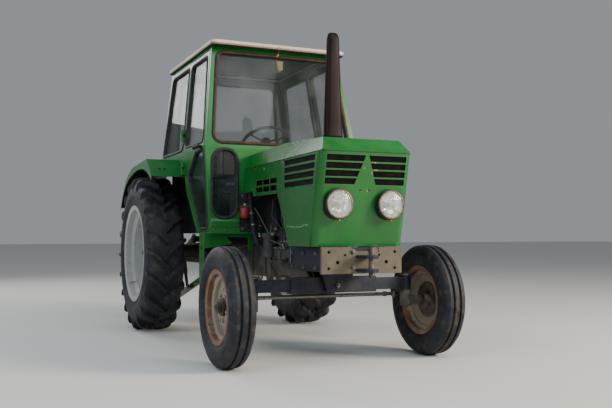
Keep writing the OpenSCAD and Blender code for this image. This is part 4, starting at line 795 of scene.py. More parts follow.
# %% Dress the CAD pieces
for finish, edge, nodes in (
        (GREEN, 3, "hood_top"), (GREEN, 1.2, "nose_panel hood_sides cowl steps"), (CREAM, 6, "cab_roof"),
        (CAB_GREEN, 4, "cab_front cab_sides cab_rear door_left door_right"), (FENDER_GREEN, 1.5, "fenders"),
        (BLACK, 2, "cab_floor controls"), (BLACK, 3, "seat_base trailer_hitch"),
        (BLACK, 4, "fuel_tank front_carrier dash"), (BLACK, 5, "front_axle_beam"),
        (IRON, 3, "knuckle_left knuckle_right lift_arms"), (IRON, 4, "engine_fittings"),
        (IRON, 6, "engine_block rear_axle"), (IRON, 8, "gearbox"), (BOWL, 2, "headlamp_bowls"),
        (STEEL, 2, "tie_rod lift_rods lower_links"), (PLASTIC, 1, "steering_wheel"),
        (GLASS, 1, "windscreen_glass side_glass door_left_glass door_right_glass"),
        (FINS, 0.8, "engine_cylinders"), (RIM_FRONT, 2, "front_rim_left front_rim_right"),
        (RIM_REAR, 3, "rear_rim_left rear_rim_right")):
    for node in nodes.split():
        dress(node, finish, edge / 1000)

# %% [markdown]
# ## Windows
#
# Each pane sits in a rubber channel with a lip that covers the edge of the opening on both
# sides of the sheet. That lip is what the eye sees, so it is swept round each opening. The
# screen's rubber has been stained by rust from the frame; the others have stayed black.

# %% Section of the rubber
def channel(depth, lip=11, proud=7):
    """Section of a window rubber for a sheet of the given depth."""
    face = [(-lip, 0.4), (-lip + 1.5, proud * 0.6), (-lip + 6, proud), (4, proud), (10, proud * 0.6), (13, 0)]
    return face + [(u, -depth - v) for u, v in face[::-1]] + [(-0.6, -depth - 0.4), (-0.6, 0.4)]


# %% Window rubber
screen = [(52 - side_x(SILL), SILL), (42 - side_x(HEAD), HEAD), (side_x(HEAD) - 42, HEAD),
          (side_x(SILL) - 52, SILL)]
loop = [at(x, screen_y(z), z) for x, z in rounded_outline(screen, 62)]
fit("windscreen_rubber", RUBBER, sweep(loop, SCREEN_OUT, channel(28, 13, 8)), nodes=["window_seals"], smooth=50)
filler = [(-7, 7.4), (-5.5, 9.6), (-1, 10.6), (4, 10.2), (8.5, 8.4), (10, 6.0), (4, 5.4), (-5, 5.4)]
fit("windscreen_filler_strip", SCREEN_RUBBER, sweep(loop, SCREEN_OUT, filler), smooth=50)

rear = rounded_outline([(-470, 1480), (-430, HEAD - 20), (430, HEAD - 20), (470, 1480)], 60)
black_rubbers = [sweep([at(x, CAB_BACK, z) for x, z in rear], BEHIND, channel(28))]
for side, name in SIDES:
    foot = rounded_outline([(side * 360, 924), (side * 360, 1418), (side * 550, 1418), (side * 550, 924)], 84)
    black_rubbers.append(sweep([at(x, CAB_FRONT, z) for x, z in foot], AHEAD, channel(28, 12, 7)))
    quarter = [(1454, 1460), (1537, HEAD - 20), (2062, HEAD - 20), (2096, 1460)]
    high = [(DOOR_Y + 32, SILL + 6), (screen_y(HEAD - 20) + 86, HEAD - 20), (1468, HEAD - 20), (1390, SILL + 6)]
    low = [(DOOR_Y + 21, 846), (DOOR_Y + 21, WAIST - 14), (1075, WAIST - 14), (1325, 1255), (1075, 846)]
    rubbers = [sweep([at(side * side_x(z), y, z) for y, z in rounded_outline(corners, radius)],
                     side_outward(side, corners[1][1]), section)
               for corners, radius, section in ((quarter, 44, channel(30)), (high, 40, channel(30, 9, 6)),
                                                (low, 40, channel(30, 9, 6)))]
    black_rubbers.append(rubbers.pop(0))
    fit(f"door_{name}_rubber", RUBBER, *rubbers, body="door_" + name, smooth=50)
fit("side_and_rear_rubber", RUBBER, *black_rubbers, smooth=50)

# %% [markdown]
# ## Headlamps
#
# A headlamp is a bowl, a rusty clamping ring with one screw below, a mirror, the shield of
# its bulb, and a lens whose upright ribs spread the light sideways. The ribs are small waves in
# the front face of the lens, so they catch the light as the real glass does.

# %% Lamp glass and lens
LAMP_X, LAMP_Z, LENS_RADIUS = 171, 983, 81.0
LAMP_Y = (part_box("headlamp_bowls")[0].y - AXLE_Y) * 1000
LAMP_RIM = metal("rusty lamp ring", "bare_steel", (0.30, 0.22, 0.14), (0.085, 0.035, 0.018), 0.38, 45.0)
MIRROR = metal("lamp mirror", "bare_steel", (0.90, 0.88, 0.82), (0.10, 0.075, 0.05), 0.12, 22.0)
LUG = metal("rusty lamp lug", "bare_steel", (0.34, 0.10, 0.03), (0.20, 0.05, 0.02), 0.5, 80.0)


def lamp_glass(name, slot):
    """Ribbed glass, clouded pale, with the brown blotches of a mirror that has let water in."""
    f = Finish(name, slot, IOR=1.45, Roughness=0.04, Specular_IOR_Level=0.6)
    blotch = f.noise(24.0, 5.0, seed=2.0).between(0.52, 0.66)
    f.shade("Base Color", f.mix(blotch, (0.86, 0.86, 0.82), (0.16, 0.13, 0.09)))
    f.shade("Alpha", blotch * 0.50 + 0.18)
    return f.material


LENS = lamp_glass("ribbed lamp glass", "lamp_glass")


def ribbed_lens(x0, rings=14, rib_width=11, thick=5):
    """A domed glass: out along its ribbed front to the rim, and back behind it to the middle."""
    path = []
    for i, behind in [(i, 0) for i in range(rings + 1)] + [(i, thick) for i in range(rings, -1, -1)]:
        radius = LENS_RADIUS * i / rings
        spokes = [(radius * math.cos(turn), radius * math.sin(turn)) for turn in turns(96)]
        dome = LAMP_Y + 2 - 11.5 * (1 - (radius / 82) ** 2) + behind
        high = 0.8 if 0 < i < rings and not behind else 0.0
        path.append([at(x0 + u, dome + high * math.cos(u * 2 * math.pi / rib_width), LAMP_Z + v)
                     for u, v in spokes])
    return skinned(path, weld=True)


def lamp_turned(x0, section, closed=True, steps=64):
    """Turns (radius, depth behind the lamp's front) points round the lamp's own axis."""
    centre = at(x0, LAMP_Y, LAMP_Z)
    return turned(lathe(section, centre, steps, closed), centre, BEHIND)


# %% Headlamps
RING = [(78.5, 1), (79, -3), (80.5, -4.2), (82.5, -3.8), (84.5, -0.8), (84.5, 5), (78.5, 5)]
DISH = [(80, 7), (76, 22), (66, 40), (48, 55), (20, 66), (AXIS, 69), (AXIS, 71), (22, 68), (50, 57), (68, 42),
        (78, 23), (81, 8)]
SHIELD = [(AXIS, 30), (9, 31), (13, 36), (13, 54), (10, 62), (AXIS, 63)]
for name, finish, smooth, nodes, make in (
        ("headlamp_rings", LAMP_RIM, 50, [], lambda x0: lamp_turned(x0, RING)),
        ("headlamp_mirrors", MIRROR, 60, [], lambda x0: lamp_turned(x0, DISH, closed=False)),
        ("headlamp_bulb_shields", BOWL, 40, [], lambda x0: lamp_turned(x0, SHIELD, closed=False, steps=24)),
        ("headlamp_ribbed_lenses", LENS, 80, ["headlamp_lenses"], ribbed_lens),
        ("headlamp_screws", LUG, 40, [], lambda x0: tube(
            [at(x0 - 6, LAMP_Y + depth, LAMP_Z - 95.5) for depth in (-2, -1, 12, 13)], [4, 5.4, 5.4, 4], 10))):
    fit(name, finish, make(-LAMP_X), make(LAMP_X), nodes=nodes, smooth=smooth)

# %% [markdown]
# ## Silencer
#
# The exhaust stands on the hood as one long flattened box that narrows towards its top. A
# loft of flat-sided ovals makes it, with a seam bead near each end and a soft crown.

# %% Silencer
def stadium(length, width, steps=12):
    """A flat-sided oval round the origin, long across the tractor."""
    half = width / 2
    return [(side * (length / 2 - half + half * math.cos(turn)), side * half * math.sin(turn))
            for side in (1, -1) for turn in (math.pi * (k / steps - 0.5) for k in range(steps + 1))]


SOOT = paint("sooty silencer", "black_paint", (0.008, 0.0035, 0.0035), (0.016, 0.007, 0.006), rough=0.42,
             dust=0.04, chips=0.3, grime=0.2, gloss=0.12)
stack, top = middle("exhaust") * 1000, 1000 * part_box("exhaust")[1].z
stack_x, stack_y, foot = stack.x, stack.y - 1000 * AXLE_Y, 1436
levels = [(foot, 118, 56), (foot + 6, 130, 68), (foot + 14, 134, 71), (foot + 20, 133, 70), (foot + 26, 129, 67)]
levels += [(foot + 26 + (top - 76 - foot) * t, 129 - 42 * t, 67 - 13 * t) for t in (k / 9 for k in range(1, 9))]
levels += [(top - 52, 87, 54), (top - 46, 89, 56), (top - 40, 86, 54), (top - 24, 80, 50), (top - 12, 70, 44),
           (top - 4, 58, 36), (top, 46, 26)]
box = skinned([[at(stack_x + u, stack_y + v, z) for u, v in stadium(*size)] for z, *size in levels], caps=True)
pipe = tube([at(stack_x, stack_y, 1236), at(stack_x, stack_y, foot + 4)], 26, 24)
fit("silencer", SOOT, box, pipe, nodes=["exhaust"], smooth=50)

# %% [markdown]
# ## Small fittings
#
# Bolts, pipes, clamps and brackets are what make a machine believable. A bar with broken
# ends, a bent pipe, a block with soft edges and a spun cup cover nearly all of them, so each
# gets one short helper that takes millimetres.

# %% Bars, pipes, blocks and cups
def rod(start, end, radius, sides=14):
    """A bar between two points, its ends chamfered."""
    a, b = at(*start), at(*end)
    run = (b - a).normalized() * min(0.0015, (b - a).length / 4)
    return tube([a, a + run, b - run, b], [radius * 0.82, radius, radius, radius * 0.82], sides)


def bent_pipe(points, radius, sides=8):
    return tube(bend([at(*point) for point in points]), radius, sides)


def block(low, high, edge=2.0, segments=2):
    """A block between two corners, its edges broken."""
    low, high = [tuple(pick(pair) for pair in zip(low, high)) for pick in (min, max)]
    bm = slab(at(*low), at(*high))
    bmesh.ops.bevel(bm, geom=bm.edges[:], offset=edge / 1000, segments=segments, affect="EDGES",
                    clamp_overlap=True)
    return bm


def spun(section, centre, axis, steps=32):
    """Turns (radius, depth) points round an axis through a point. The section of a ring ends
    where it began; any other starts and ends on the axis, with no point twice."""
    if section[0] != section[-1]:
        section = list(dict.fromkeys([(AXIS, section[0][1]), *section, (AXIS, section[-1][1])]))
    about = at(*centre)
    return turned(lathe(section, about, steps, closed=False), about, axis)


def clamp_band(centre, axis, radius, width=9, thick=1.6):
    """A hose clip: a thin band round a pipe."""
    half = width / 2
    section = [(radius, -half), (radius + thick, -half), (radius + thick, half), (radius, half)]
    return turned(lathe(section, at(*centre), 20), at(*centre), axis)


def screws(name, places, radius, height, sides=6, finish=STEEL, body="chassis"):
    """A piece of heads: bolts have six sides, screws and plugs more."""
    return fit(name, finish, bolts(places, radius, height, finish, sides), body=body)


def both(points, direction):
    """Points with one direction, and the same mirrored to the other side of the tractor."""
    return [((side * x, y, z), (side * direction[0], *direction[1:])) for side in (-1, 1) for x, y, z in points]


def side_sheet(outline, x1, x2):
    """A (y, z) outline made solid between two places across the tractor."""
    return cut_out(outline, x1, x2, lambda y, z, x: at(x, y, z))


# %% [markdown]
# ## Front plate and tow jaw
#
# The plate is bare and tan, the jaw a dark casting bolted to it. In the CAD model both are one
# solid, so its copy is cut along the plate's face and each half gets its own finish. A tow
# pin with a bent handle stands in the jaw.

# %% Front plate, jaw and pin
def split_at(node, inside):
    """Two closed copies of a node's mesh: the faces that pass the test, and the rest."""
    halves = []
    for wanted in (True, False):
        bm = shell(node)
        away = [face for face in bm.faces if inside(face.calc_center_median()) != wanted]
        bmesh.ops.delete(bm, geom=away, context="FACES")
        bmesh.ops.holes_fill(bm, edges=[edge for edge in bm.edges if edge.is_boundary])
        bmesh.ops.recalc_face_normals(bm, faces=bm.faces)
        halves.append(bm)
    return halves


PLATE_Y, PIN_Y = -418, -523
jaw, plate = split_at("front_plate", lambda place: place.y < at(0, PLATE_Y - 0.5, 0).y)
fit("front_plate_shown", PLATE, plate, nodes=["front_plate"], bevel=0.002)
fit("tow_jaw_shown", BLACK, jaw, nodes=["front_plate"], bevel=0.003)
fit("tow_pin", IRON, rod((0, PIN_Y, 552), (0, PIN_Y, 722), 12.5, 20),
    bent_pipe([(0, PIN_Y, 716), (0, PIN_Y, 730), (14, PIN_Y - 2, 741), (40, PIN_Y - 4, 738), (50, PIN_Y - 4, 722),
               (48, PIN_Y - 4, 704)], 5.5, 10),
    bent_pipe([(-24, PIN_Y, 566), (16, PIN_Y, 566), (26, PIN_Y, 572), (18, PIN_Y, 580), (4, PIN_Y, 580)], 2.0),
    smooth=50)
front_bolts = both([(62, PLATE_Y - 4, z) for z in (706, 614)], AHEAD) + [((0, -90, 485), AHEAD)]
front_bolts += both([(265, y, z) for y in (-330, -150, 20) for z in (608, 694)], OUT)
screws("front_plate_bolts", front_bolts, 11, 9)
fit("carrier_straps", STEEL, *[block((side * 264, 34, 624), (side * 271, 56, 712)) for side in (-1, 1)])

# %% [markdown]
# ## Hood fittings
#
# A dark rubber bead seals the seam between the hood's top and its sides, two black discs on the nose are the
# painted shade inside two old holes, and quarter-turn locks hold the side panels.

# %% Hood seam, locks and screws
def seam_at(y):
    return 1291 - (y + 495) * 13 / 1316


half_seam = [(305.4, y, seam_at(y)) for y in (818, 600, 400, 200, 0, -200, -380, -446)]
half_seam += [(257 + 48.4 * math.cos(a), -446.6 - 48.6 * math.sin(a), seam_at(-480))
              for a in (math.pi / 12 * k for k in range(1, 7))]
whole_seam = [at(-x, y, z) for x, y, z in half_seam] + [at(*point) for point in half_seam[::-1]]
fit("hood_seam_rubber", RUBBER, tube(whole_seam, 2.3, 6), smooth=60)

# Painted shade: black rubber discs stand for the dark inside of two holes in the nose.
holes = [((x, nose_face(z) - 0.2, z), (0, -0.9765, -0.2156)) for x, z in ((-27, 1066), (30, 1068))]
screws("nose_hole_painted_shade", holes, 5.5, 0.7, 16, RUBBER)
panel_screws = both([(305.6, y, z) for y, z in (
    (-184, 1006), (-215, 802), (12, 790), (600, 1262), (600, 1090), (700, 1125), (790, 1125))], OUT)
screws("panel_screws", panel_screws, 5.5, 2.6, 16)
locks = []
for side in (-1, 1):
    for y, z in ((430, 1250), (90, 1262)):
        locks.append(spun([(AXIS, 3.4), (6, 3.2), (11, 1.6), (12.5, 0), (12.5, -1.5)],
                          (side * 305, y, z), side * OUT, 24))
        locks.append(block((side * 307.6, y - 8.5, z - 1.3), (side * 310.2, y + 8.5, z + 1.3), 0.5, 1))
fit("panel_locks", STEEL, *locks)

# %% [markdown]
# ## In front of the cab
#
# A dark quilted mat covers the cab's front wall where it faces the engine, so that part is dark. Pipes and cables
# leave it there: the breather, the fuel filter with its red cup, and the loom.

# %% Firewall, filter and pipes
def felt(name, slot, colour, lighter):
    """A quilted mat: fine fibres, with shallow stitched lines."""
    f = Finish(name, slot)
    f.shade("Base Color", f.mix(f.noise(240.0, 3.0).between(0.35, 0.7), colour, lighter))
    f.shade("Roughness", f.noise(90.0, 2.0) * 0.1 + 0.85)
    f.bump(f.grid(0.055, "X") ** 0.4 + f.noise(300.0, 2.0) * 0.3, 0.5, 0.004)
    return f.material


MAT = felt("dark quilted mat", "black_paint", (0.008, 0.008, 0.010), (0.020, 0.019, 0.020))
HOSE = dull_rubber("oily hose rubber", "window_rubber", (0.006, 0.007, 0.010), (0.016, 0.018, 0.026))
RED = paint("red filter cup", "black_paint", (0.26, 0.008, 0.006), (0.20, 0.014, 0.010), rough=0.4)
fit("firewall_mat", MAT, block((-344, 816, 824), (344, 820.8, 1104)))
mat_clips = both([(x, 816, z) for x in (65, 195, 325) for z in (846, 1082)], AHEAD)
screws("firewall_clips", mat_clips, 9, 2.5, 16)
fit("engine_hoses", HOSE,
    bent_pipe([(-280, 772, 1108), (-280, 768, 1060), (-281, 738, 960), (-281, 702, 860), (-278, 672, 790),
               (-262, 655, 742), (-238, 650, 728)], 17, 14),
    bent_pipe([(-240, 812, 1010), (-236, 780, 985), (-222, 742, 900), (-214, 720, 790), (-205, 690, 726),
               (-196, 640, 716)], 9, 10),
    bent_pipe([(-150, 740, 1128), (-200, 752, 1080), (-262, 775, 1050), (-312, 782, 1012)], 8, 10), smooth=50)
fit("hose_clips", STEEL, *[clamp_band(*clip) for clip in (
    ((-281, 736, 954), (0, 0.27, 0.96), 17.2), ((-281, 706, 872), (0, 0.3, 0.95), 17.2),
    ((-218, 733, 866), (0.1, 0.2, 0.97), 9.2, 8), ((-308, 781, 1018), (0.7, 0, 0.7), 8.3, 7))])
fit("fuel_filter_cup", RED,
    spun([(AXIS, 78), (12, 77), (26, 72), (33, 62), (34, 50), (34, 4), (32, 0)], (-318, 782, 998), -UP, 28),
    smooth=40)
fit("fuel_filter_head", STEEL, block((-352, 748, 998), (-286, 816, 1014), 3),
    spun([(AXIS, 15), (13, 14), (15, 10), (15, 0)], (-318, 782, 1012), UP, 6),
    bent_pipe([(-292, 776, 1006), (-262, 760, 1004), (-236, 690, 930), (-214, 560, 800), (-205, 470, 742)], 4.5),
    smooth=40)
fit("wiring_loom", HOSE,
    bent_pipe([(300, 816, 1096), (200, 812, 1088), (60, 810, 1092), (-100, 810, 1086), (-250, 806, 1092),
               (-296, 790, 1070)], 7, 10),
    bent_pipe([(120, 812, 1088), (126, 790, 1000), (140, 740, 900), (150, 700, 820)], 5), smooth=50)

# %% [markdown]
# ## Engine details
#
# An air-cooled diesel shows its plumbing: injector leak-off lines, nuts on the rocker covers,
# a dipstick, the starter beside the bell housing and the throttle rod beside the pump.

# %% Engine details
BARREL_Y, HEAD_Z = (189, 365, 541), 1040
engine_nuts = both([(172, y, 617) for y in range(122, 630, 56)], UP)
for y in BARREL_Y:
    engine_nuts += both([(x, y + dy, HEAD_Z + dz) for x, dy, dz in (
        (66, -68, 72), (66, 68, 72), (44, -50, 119), (44, 50, 119))], UP)
    engine_nuts += [((174.5, y + dy, 720 + dz), OUT) for dy in (-52, 52) for dz in (-28, 28)]
engine_nuts += [((-232, y, 714), UP) for y in (232, 282, 332, 382, 408)]
engine_nuts += [((-231.5, y, z), -OUT) for y in (240, 400) for z in (652, 702)]
screws("engine_nuts", engine_nuts, 8, 7)

injectors = [spun([(5, 34), (7, 30), (7, 20), (11, 18), (11, 0)],
                  (-78, y + 30, HEAD_Z + 72), (-0.35, 0, 1), 8) for y in BARREL_Y]
leaks = [bent_pipe([(-88, first + 30, HEAD_Z + 102), (-104, first + 70, HEAD_Z + 112),
                    (-104, second - 20, HEAD_Z + 112), (-88, second + 30, HEAD_Z + 102)], 2.6)
         for first, second in zip(BARREL_Y, BARREL_Y[1:])]
banjos = [spun([(9, 11), (10, 9), (10, 2), (9, 0)], (-203, y, 752), UP, 6)
          for y in (260, 310, 360)]
throttle = [rod((-240, 250, 736), (-248, 660, 800), 4), rod((-236, 236, 716), (-242, 250, 744), 6),
            bent_pipe([(-248, 660, 800), (-250, 730, 812), (-252, 812, 900)], 4)]
dipstick = bent_pipe([(-176, 590, 700), (-190, 596, 780), (-186, 602, 850), (-182, 604, 872), (-182, 588, 884),
                      (-182, 574, 874)], 4)
pump_lid = [block((-234, 228, 713), (-168, 412, 721), 2), block((-238, 300, 640), (-228, 350, 700), 3),
            spun([(22, 8), (25, 5), (26, 0)], (-203, 148, 680), AHEAD, 24)]
fit("injection_gear", STEEL, *injectors, *leaks, *banjos, *throttle, dipstick, *pump_lid, smooth=40)
fit("starter_motor", IRON,
    spun([(36, 0), (40, 4), (40, 20), (42, 22), (42, 118), (40, 120), (40, 138), (36, 146), (24, 150)],
         (214, 632, 628), AHEAD, 28),
    spun([(22, 0), (24, 3), (24, 80), (20, 86)], (222, 620, 694), AHEAD, 20),
    block((176, 600, 590), (206, 640, 668), 4), smooth=40)
fit("starter_cable", HOSE, bent_pipe([(222, 530, 694), (226, 506, 706), (214, 492, 760), (196, 560, 830),
                                      (200, 690, 880), (220, 812, 960)], 6), smooth=50)

# %% [markdown]
# ## Screens behind the grilles
#
# Painted shade: a fine dark wire screen behind the grilles keeps their slots as dark as the shade inside the hood.
# Its wires are far thinner than a slot, so a thin sheet carries them as a woven bump instead of as thousands of
# bars.

# %% Grille screens
def woven_wire(name, slot):
    f = Finish(name, slot, Metallic=0.6, Specular_IOR_Level=0.2)
    dusty = f.noise(30.0, 4.0).between(0.4, 0.7)
    f.shade("Base Color", f.mix(dusty, (0.004, 0.004, 0.005), (0.012, 0.010, 0.008)))
    f.shade("Roughness", f.noise(60.0, 2.0) * 0.2 + 0.7)
    f.bump(f.grid(0.003, "X", "Y"), 0.6, 0.001)
    return f.material


# Painted shade: dark screens fill the side and front grilles, so their slots stay dark.
WIRE = woven_wire("grille wire screen for painted shade", "black_paint")
side_screen = [(nose_face(z) + 64, z) for z in (1090, 1286)] + [(72, 1286), (72, 1090)]
fit("grille_shade_screens", WIRE, *[side_sheet(side_screen, side * 299.5, side * 298.3) for side in (-1, 1)],
    cut_out([(-270, 1092), (270, 1092), (270, 1276), (-270, 1276)], 6, 7.2,
            lambda x, z, depth: at(x, nose_face(z) + depth, z)))

# %% [markdown]
# ## Cab fittings
#
# The wiper's pivot sits over the middle of the screen and its motor hangs behind the glass.
# The roof is held by a row of screws round its edge, and the walls are bolted together.

# %% Wiper, roof screws and cab bolts
BRASS = metal("tarnished brass", "bare_steel", (0.34, 0.25, 0.12), (0.10, 0.06, 0.03), 0.38, 60.0)
fit("wiper_pivot", BRASS,
    spun([(AXIS, 9), (8, 8), (11, 5), (11, 0), (14, -1), (14, -3)], (2, 965, 2178), SCREEN_OUT, 24),
    bent_pipe([(2, 958, 2180), (4, 950, 2186), (12, 944, 2196), (8, 940, 2204)], 3.2),
    bent_pipe([(2, 957, 2178), (0, 950, 2166), (-7, 949, 2152), (-5, 948, 2146)], 3.2), smooth=40)
fit("wiper_motor", BRASS,
    spun([(20, 0), (30, 6), (33, 14), (33, 58), (29, 64), (18, 68), (18, 76), (AXIS, 78)],
         (36, 1052, 2128), (0.06, -0.12, -1), 32),
    block((6, 996, 2120), (70, 1070, 2132), 3), block((14, 994, 2060), (60, 1004, 2124), 3), smooth=40)

ROOF_TOP = 2224
roof_line = [((x, y, ROOF_TOP), UP) for x in range(-480, 481, 160) for y in (900, 2149)]
roof_line += both([(522, y, ROOF_TOP) for y in range(980, 2100, 180)], UP)
screws("roof_screws", roof_line, 6.5, 3, 12)
cab_bolts = both([(x, 808.5, z) for x in (372, 536) for z in (876, 894)], AHEAD)
cab_bolts += both([(x, 820.5, 838) for x in (380, 460, 540)], AHEAD)
cab_bolts += both([(597, 925, z) for z in (792, 762)], OUT)
cab_bolts += both([(x, 2142, z) for x in (455, 485) for z in (870, 1100, 1330)], BEHIND)
screws("cab_bolts", cab_bolts, 7, 4.5)
fender_holes = both([(x, 1500, 1255.5 + 75 * 145 / 180) for x in (732, 772)], (0, -0.627, 0.779))
screws("fender_plugs", fender_holes, 8, 1.5, 16, RUBBER)

# %% [markdown]
# ## Door handles and grab bars
#
# A door is opened by a black handle below its window and pulled shut by a tube on its inside.
# Both ride on the door, so they swing with it.

# %% Door fittings
for side, name in SIDES:
    door, skin, inside = "door_" + name, side * side_x(1440), side * (side_x(1300) - 34)
    grip = [at(skin + side * (28 + 5.5 * math.sin(k / 10 * math.pi)), 908 + 14.2 * k, 1440) for k in range(11)]
    fit(door + "_handle", PLASTIC, rod((skin + side, 931, 1440), (skin + side * 24, 931, 1440), 12.5),
        tube(grip, [8, 12, 14, 15, 15.5, 15.5, 15.5, 15, 14, 12, 8], 14), body=door, smooth=50)
    bar = [(inside + side * step, y, z) for step, y, z in (
        (8, 905, 1452), (-22, 915, 1452), (-30, 960, 1450), (-30, 1180, 1446), (-22, 1230, 1446), (8, 1240, 1446))]
    fit(door + "_grab_bar", BLACK, bent_pipe(bar, 8, 12),
        block((inside + side * 2, 880, 1412), (inside - side * 20, 930, 1440), 3), body=door, smooth=50)
    pane_clips = [((side * (side_x(z) + 2), y, z), side * OUT) for y, z in ((1440, 1520), (1470, 2060))]
    screws(door + "_pane_clips", pane_clips, 9, 4, 16, body=door)

# %% [markdown]
# ## The driver's place
#
# Gauges with plain scales, a row of knobs, rubber gaiters round the levers and ribbed pedals
# fill the cab. They show through the glass, so they are kept simple but not left out.

# %% Gauges and switches
def printed(name, slot, scale, rough, first, second):
    """A plain even colour, a little cloudy."""
    f = Finish(name, slot, Roughness=rough)
    f.shade("Base Color", f.mix(f.noise(scale, 2.0), first, second))
    return f.material


DIAL = printed("dial face", "wheel_plastic", 50.0, 0.5, (0.010, 0.010, 0.011), (0.018, 0.018, 0.018))
INK = printed("dial ink", "lamp_glass", 200.0, 0.6, (0.62, 0.61, 0.56), (0.74, 0.73, 0.68))
FACE_Y, FACE_Z = 1007, 1370


def on_dial(x0, away, turn, depth):
    return (x0 - away * math.sin(turn), FACE_Y + depth, FACE_Z + away * math.cos(turn))


faces, inks, bezels = [], [], []
for x0, radius, marks in ((-105, 32, 9), (0, 46, 17), (105, 32, 9)):
    centre = (x0, FACE_Y, FACE_Z)
    faces.append(spun([(radius - 3, 0.8), (radius - 2, 0.0)], centre, BEHIND, 40))
    rim = [(-3.5, 1.0), (-1, 5.5), (2.5, 4.5), (3.5, 0.0), (3.5, -4.0), (-3.5, -1.0), (-3.5, 1.0)]
    bezels.append(spun([(radius + wider, depth) for wider, depth in rim], centre, BEHIND, 48))
    for k in range(marks):
        turn = math.radians(-130 + 260 * k / (marks - 1))
        inner = radius * (0.68 if k % 2 == 0 else 0.76)
        inks.append(rod(on_dial(x0, inner, turn, 1.2), on_dial(x0, radius * 0.86, turn, 1.2), 0.8, 4))
    turn = math.radians(-70 - x0 * 0.3)
    needle = [at(*on_dial(x0, -5, turn, 2.4)), at(*on_dial(x0, radius * 0.66, turn, 2.4))]
    inks.append(tube(needle, [1.5, 0.4], 6))
fit("gauge_faces", DIAL, *faces)
fit("gauge_scales", INK, *inks)
fit("gauge_bezels", STEEL, *bezels, smooth=40)
KNOB = [(7, 20), (9, 17), (8, 8), (4.5, 6), (4.5, 0), (12, 0), (12, -2)]
fit("dash_knobs", PLASTIC,
    *[spun(KNOB, (x, 999, 1296), BEHIND, 18) for x in (-210, -160, -60, 60, 110, 160, 210)],
    bent_pipe([(0, 1128, 1410), (60, 1130, 1424), (118, 1134, 1430)], 4),
    spun([(AXIS, 0), (7, 1), (9, 6), (9, 30), (5, 36), (AXIS, 37)], (112, 1134, 1430), (1, 0.05, 0.08), 16),
    smooth=40)


# %% Levers, gaiters and pedals
def gaiter(x, y, z, height, wide, narrow, folds=6):
    """A pleated rubber boot round a lever."""
    section = [(wide, 0)]
    for k in range(folds * 2):
        t = (k + 0.5) / (folds * 2)
        section.append((wide + (narrow - wide) * t + (3 if k % 2 == 0 else -3), height * t))
    return spun(section + [(narrow, height)], (x, y, z), UP, 24)


fit("lever_gaiters", RUBBER, *[gaiter(x, 1389, 837, 74, 34, 13) for x in (-60, 60)],
    gaiter(0, 1010, 862, 60, 44, 28, 4), smooth=40)
BALL = [(9, -24), (13, -18), (21.5, -6), (22.5, 2), (19, 14), (10, 21), (AXIS, 23)]
GRIP = [(9, 0), (11, 5), (10, 40), (12, 60), (8, 68), (AXIS, 69)]
fit("lever_knobs", PLASTIC, *[spun(BALL, (x, 1370, 1205), UP, 24) for x in (-84, 84)],
    *[spun(GRIP, (x - 14, 1560, 1176), (0, -0.3, 1), 16) for x in (-262, -290)], smooth=40)
fit("hydraulic_levers", BLACK, block((-302, 1560, 823), (-250, 1700, 906), 6),
    *[bent_pipe([(x, 1640, 900), (x - 6, 1600, 1060), (x - 14, 1560, 1180)], 6, 10) for x in (-262, -290)],
    smooth=40)
pads = []
for x in (-230, 190, 290):
    pads.append(block((x - 37, 1068, 931), (x + 37, 1066, 1005), 1))
    pads += [rod((x - 33, 1091.5, z), (x + 33, 1091.5, z), 2.6, 6) for z in range(940, 1000, 11)]
fit("pedal_pads", RUBBER, *pads, smooth=40)
fit("floor_mat", RUBBER, block((-440, 868, 823.2), (440, 1340, 827), 1.5),
    *[rod((-430, y, 827), (430, y, 827), 2.0, 6) for y in range(884, 1330, 22)], smooth=40)
COLUMN = math.radians(32)
fit("steering_wheel_cap", PLASTIC,
    spun([(AXIS, 14), (18, 13), (30, 10), (38, 4), (38.5, 0), (36.5, -3), (36.3, 9)], (0, 1210.5, 1538),
         (0, math.sin(COLUMN), math.cos(COLUMN)), 36), body="steering_wheel", smooth=40)

# %% [markdown]
# ## Rear end
#
# Tail lamps stand on the fenders. The hitch has its pin and its shaft guard, and turnbuckles
# level the lower links.

# %% Tail lamps
TAIL_RED = window_glass("red lamp glass", "lamp_glass", (0.30, 0.008, 0.006), clear=0.92, film_strength=0.06)
TAIL_AMBER = window_glass("amber lamp glass", "lamp_glass", (0.55, 0.16, 0.010), clear=0.92, film_strength=0.06)
LENS_Y, FENDER_RADIUS = 2608, 680.5


def lens(x1, x2, bulge=5):
    """A lamp glass: a soft block whose rear face is ribbed."""
    low, high = at(min(x1, x2), LENS_Y - 9, 1180), at(max(x1, x2), LENS_Y, 1242)
    bm = slab(low, high)
    bmesh.ops.subdivide_edges(bm, edges=bm.edges[:], cuts=11, use_grid_fill=True)
    centre, size = (low + high) / 2, high - low
    for v in bm.verts:
        if v.co.y > high.y - 0.0005:
            u, w = 2 * (v.co.x - centre.x) / size.x, 2 * (v.co.z - centre.z) / size.z
            v.co.y += (bulge * (1 - u * u) * (1 - w * w) + 0.5 * math.cos(u * 22)) / 1000
    return bm


foot = [(REAR_Y + math.sqrt(FENDER_RADIUS ** 2 - (z - REAR_Z) ** 2), z) for z in range(1169, 1225, 11)]
foot += [(2563, 1240), (2569, 1240)]
for name, finish, smooth, make in (
        ("tail_lamp_housings", PLASTIC, 40, lambda s: block((s * 700, 2566, 1176), (s * 812, 2600, 1246), 5, 3)),
        ("tail_lamp_feet", BLACK, 35, lambda s: side_sheet(foot, s * 735, s * 777)),
        ("tail_lamps_red", TAIL_RED, 50, lambda s: lens(s * 704, s * 760.5)),
        ("tail_lamps_amber", TAIL_AMBER, 50, lambda s: lens(s * 763.5, s * 808))):
    fit(name, finish, make(-1), make(1), smooth=smooth)

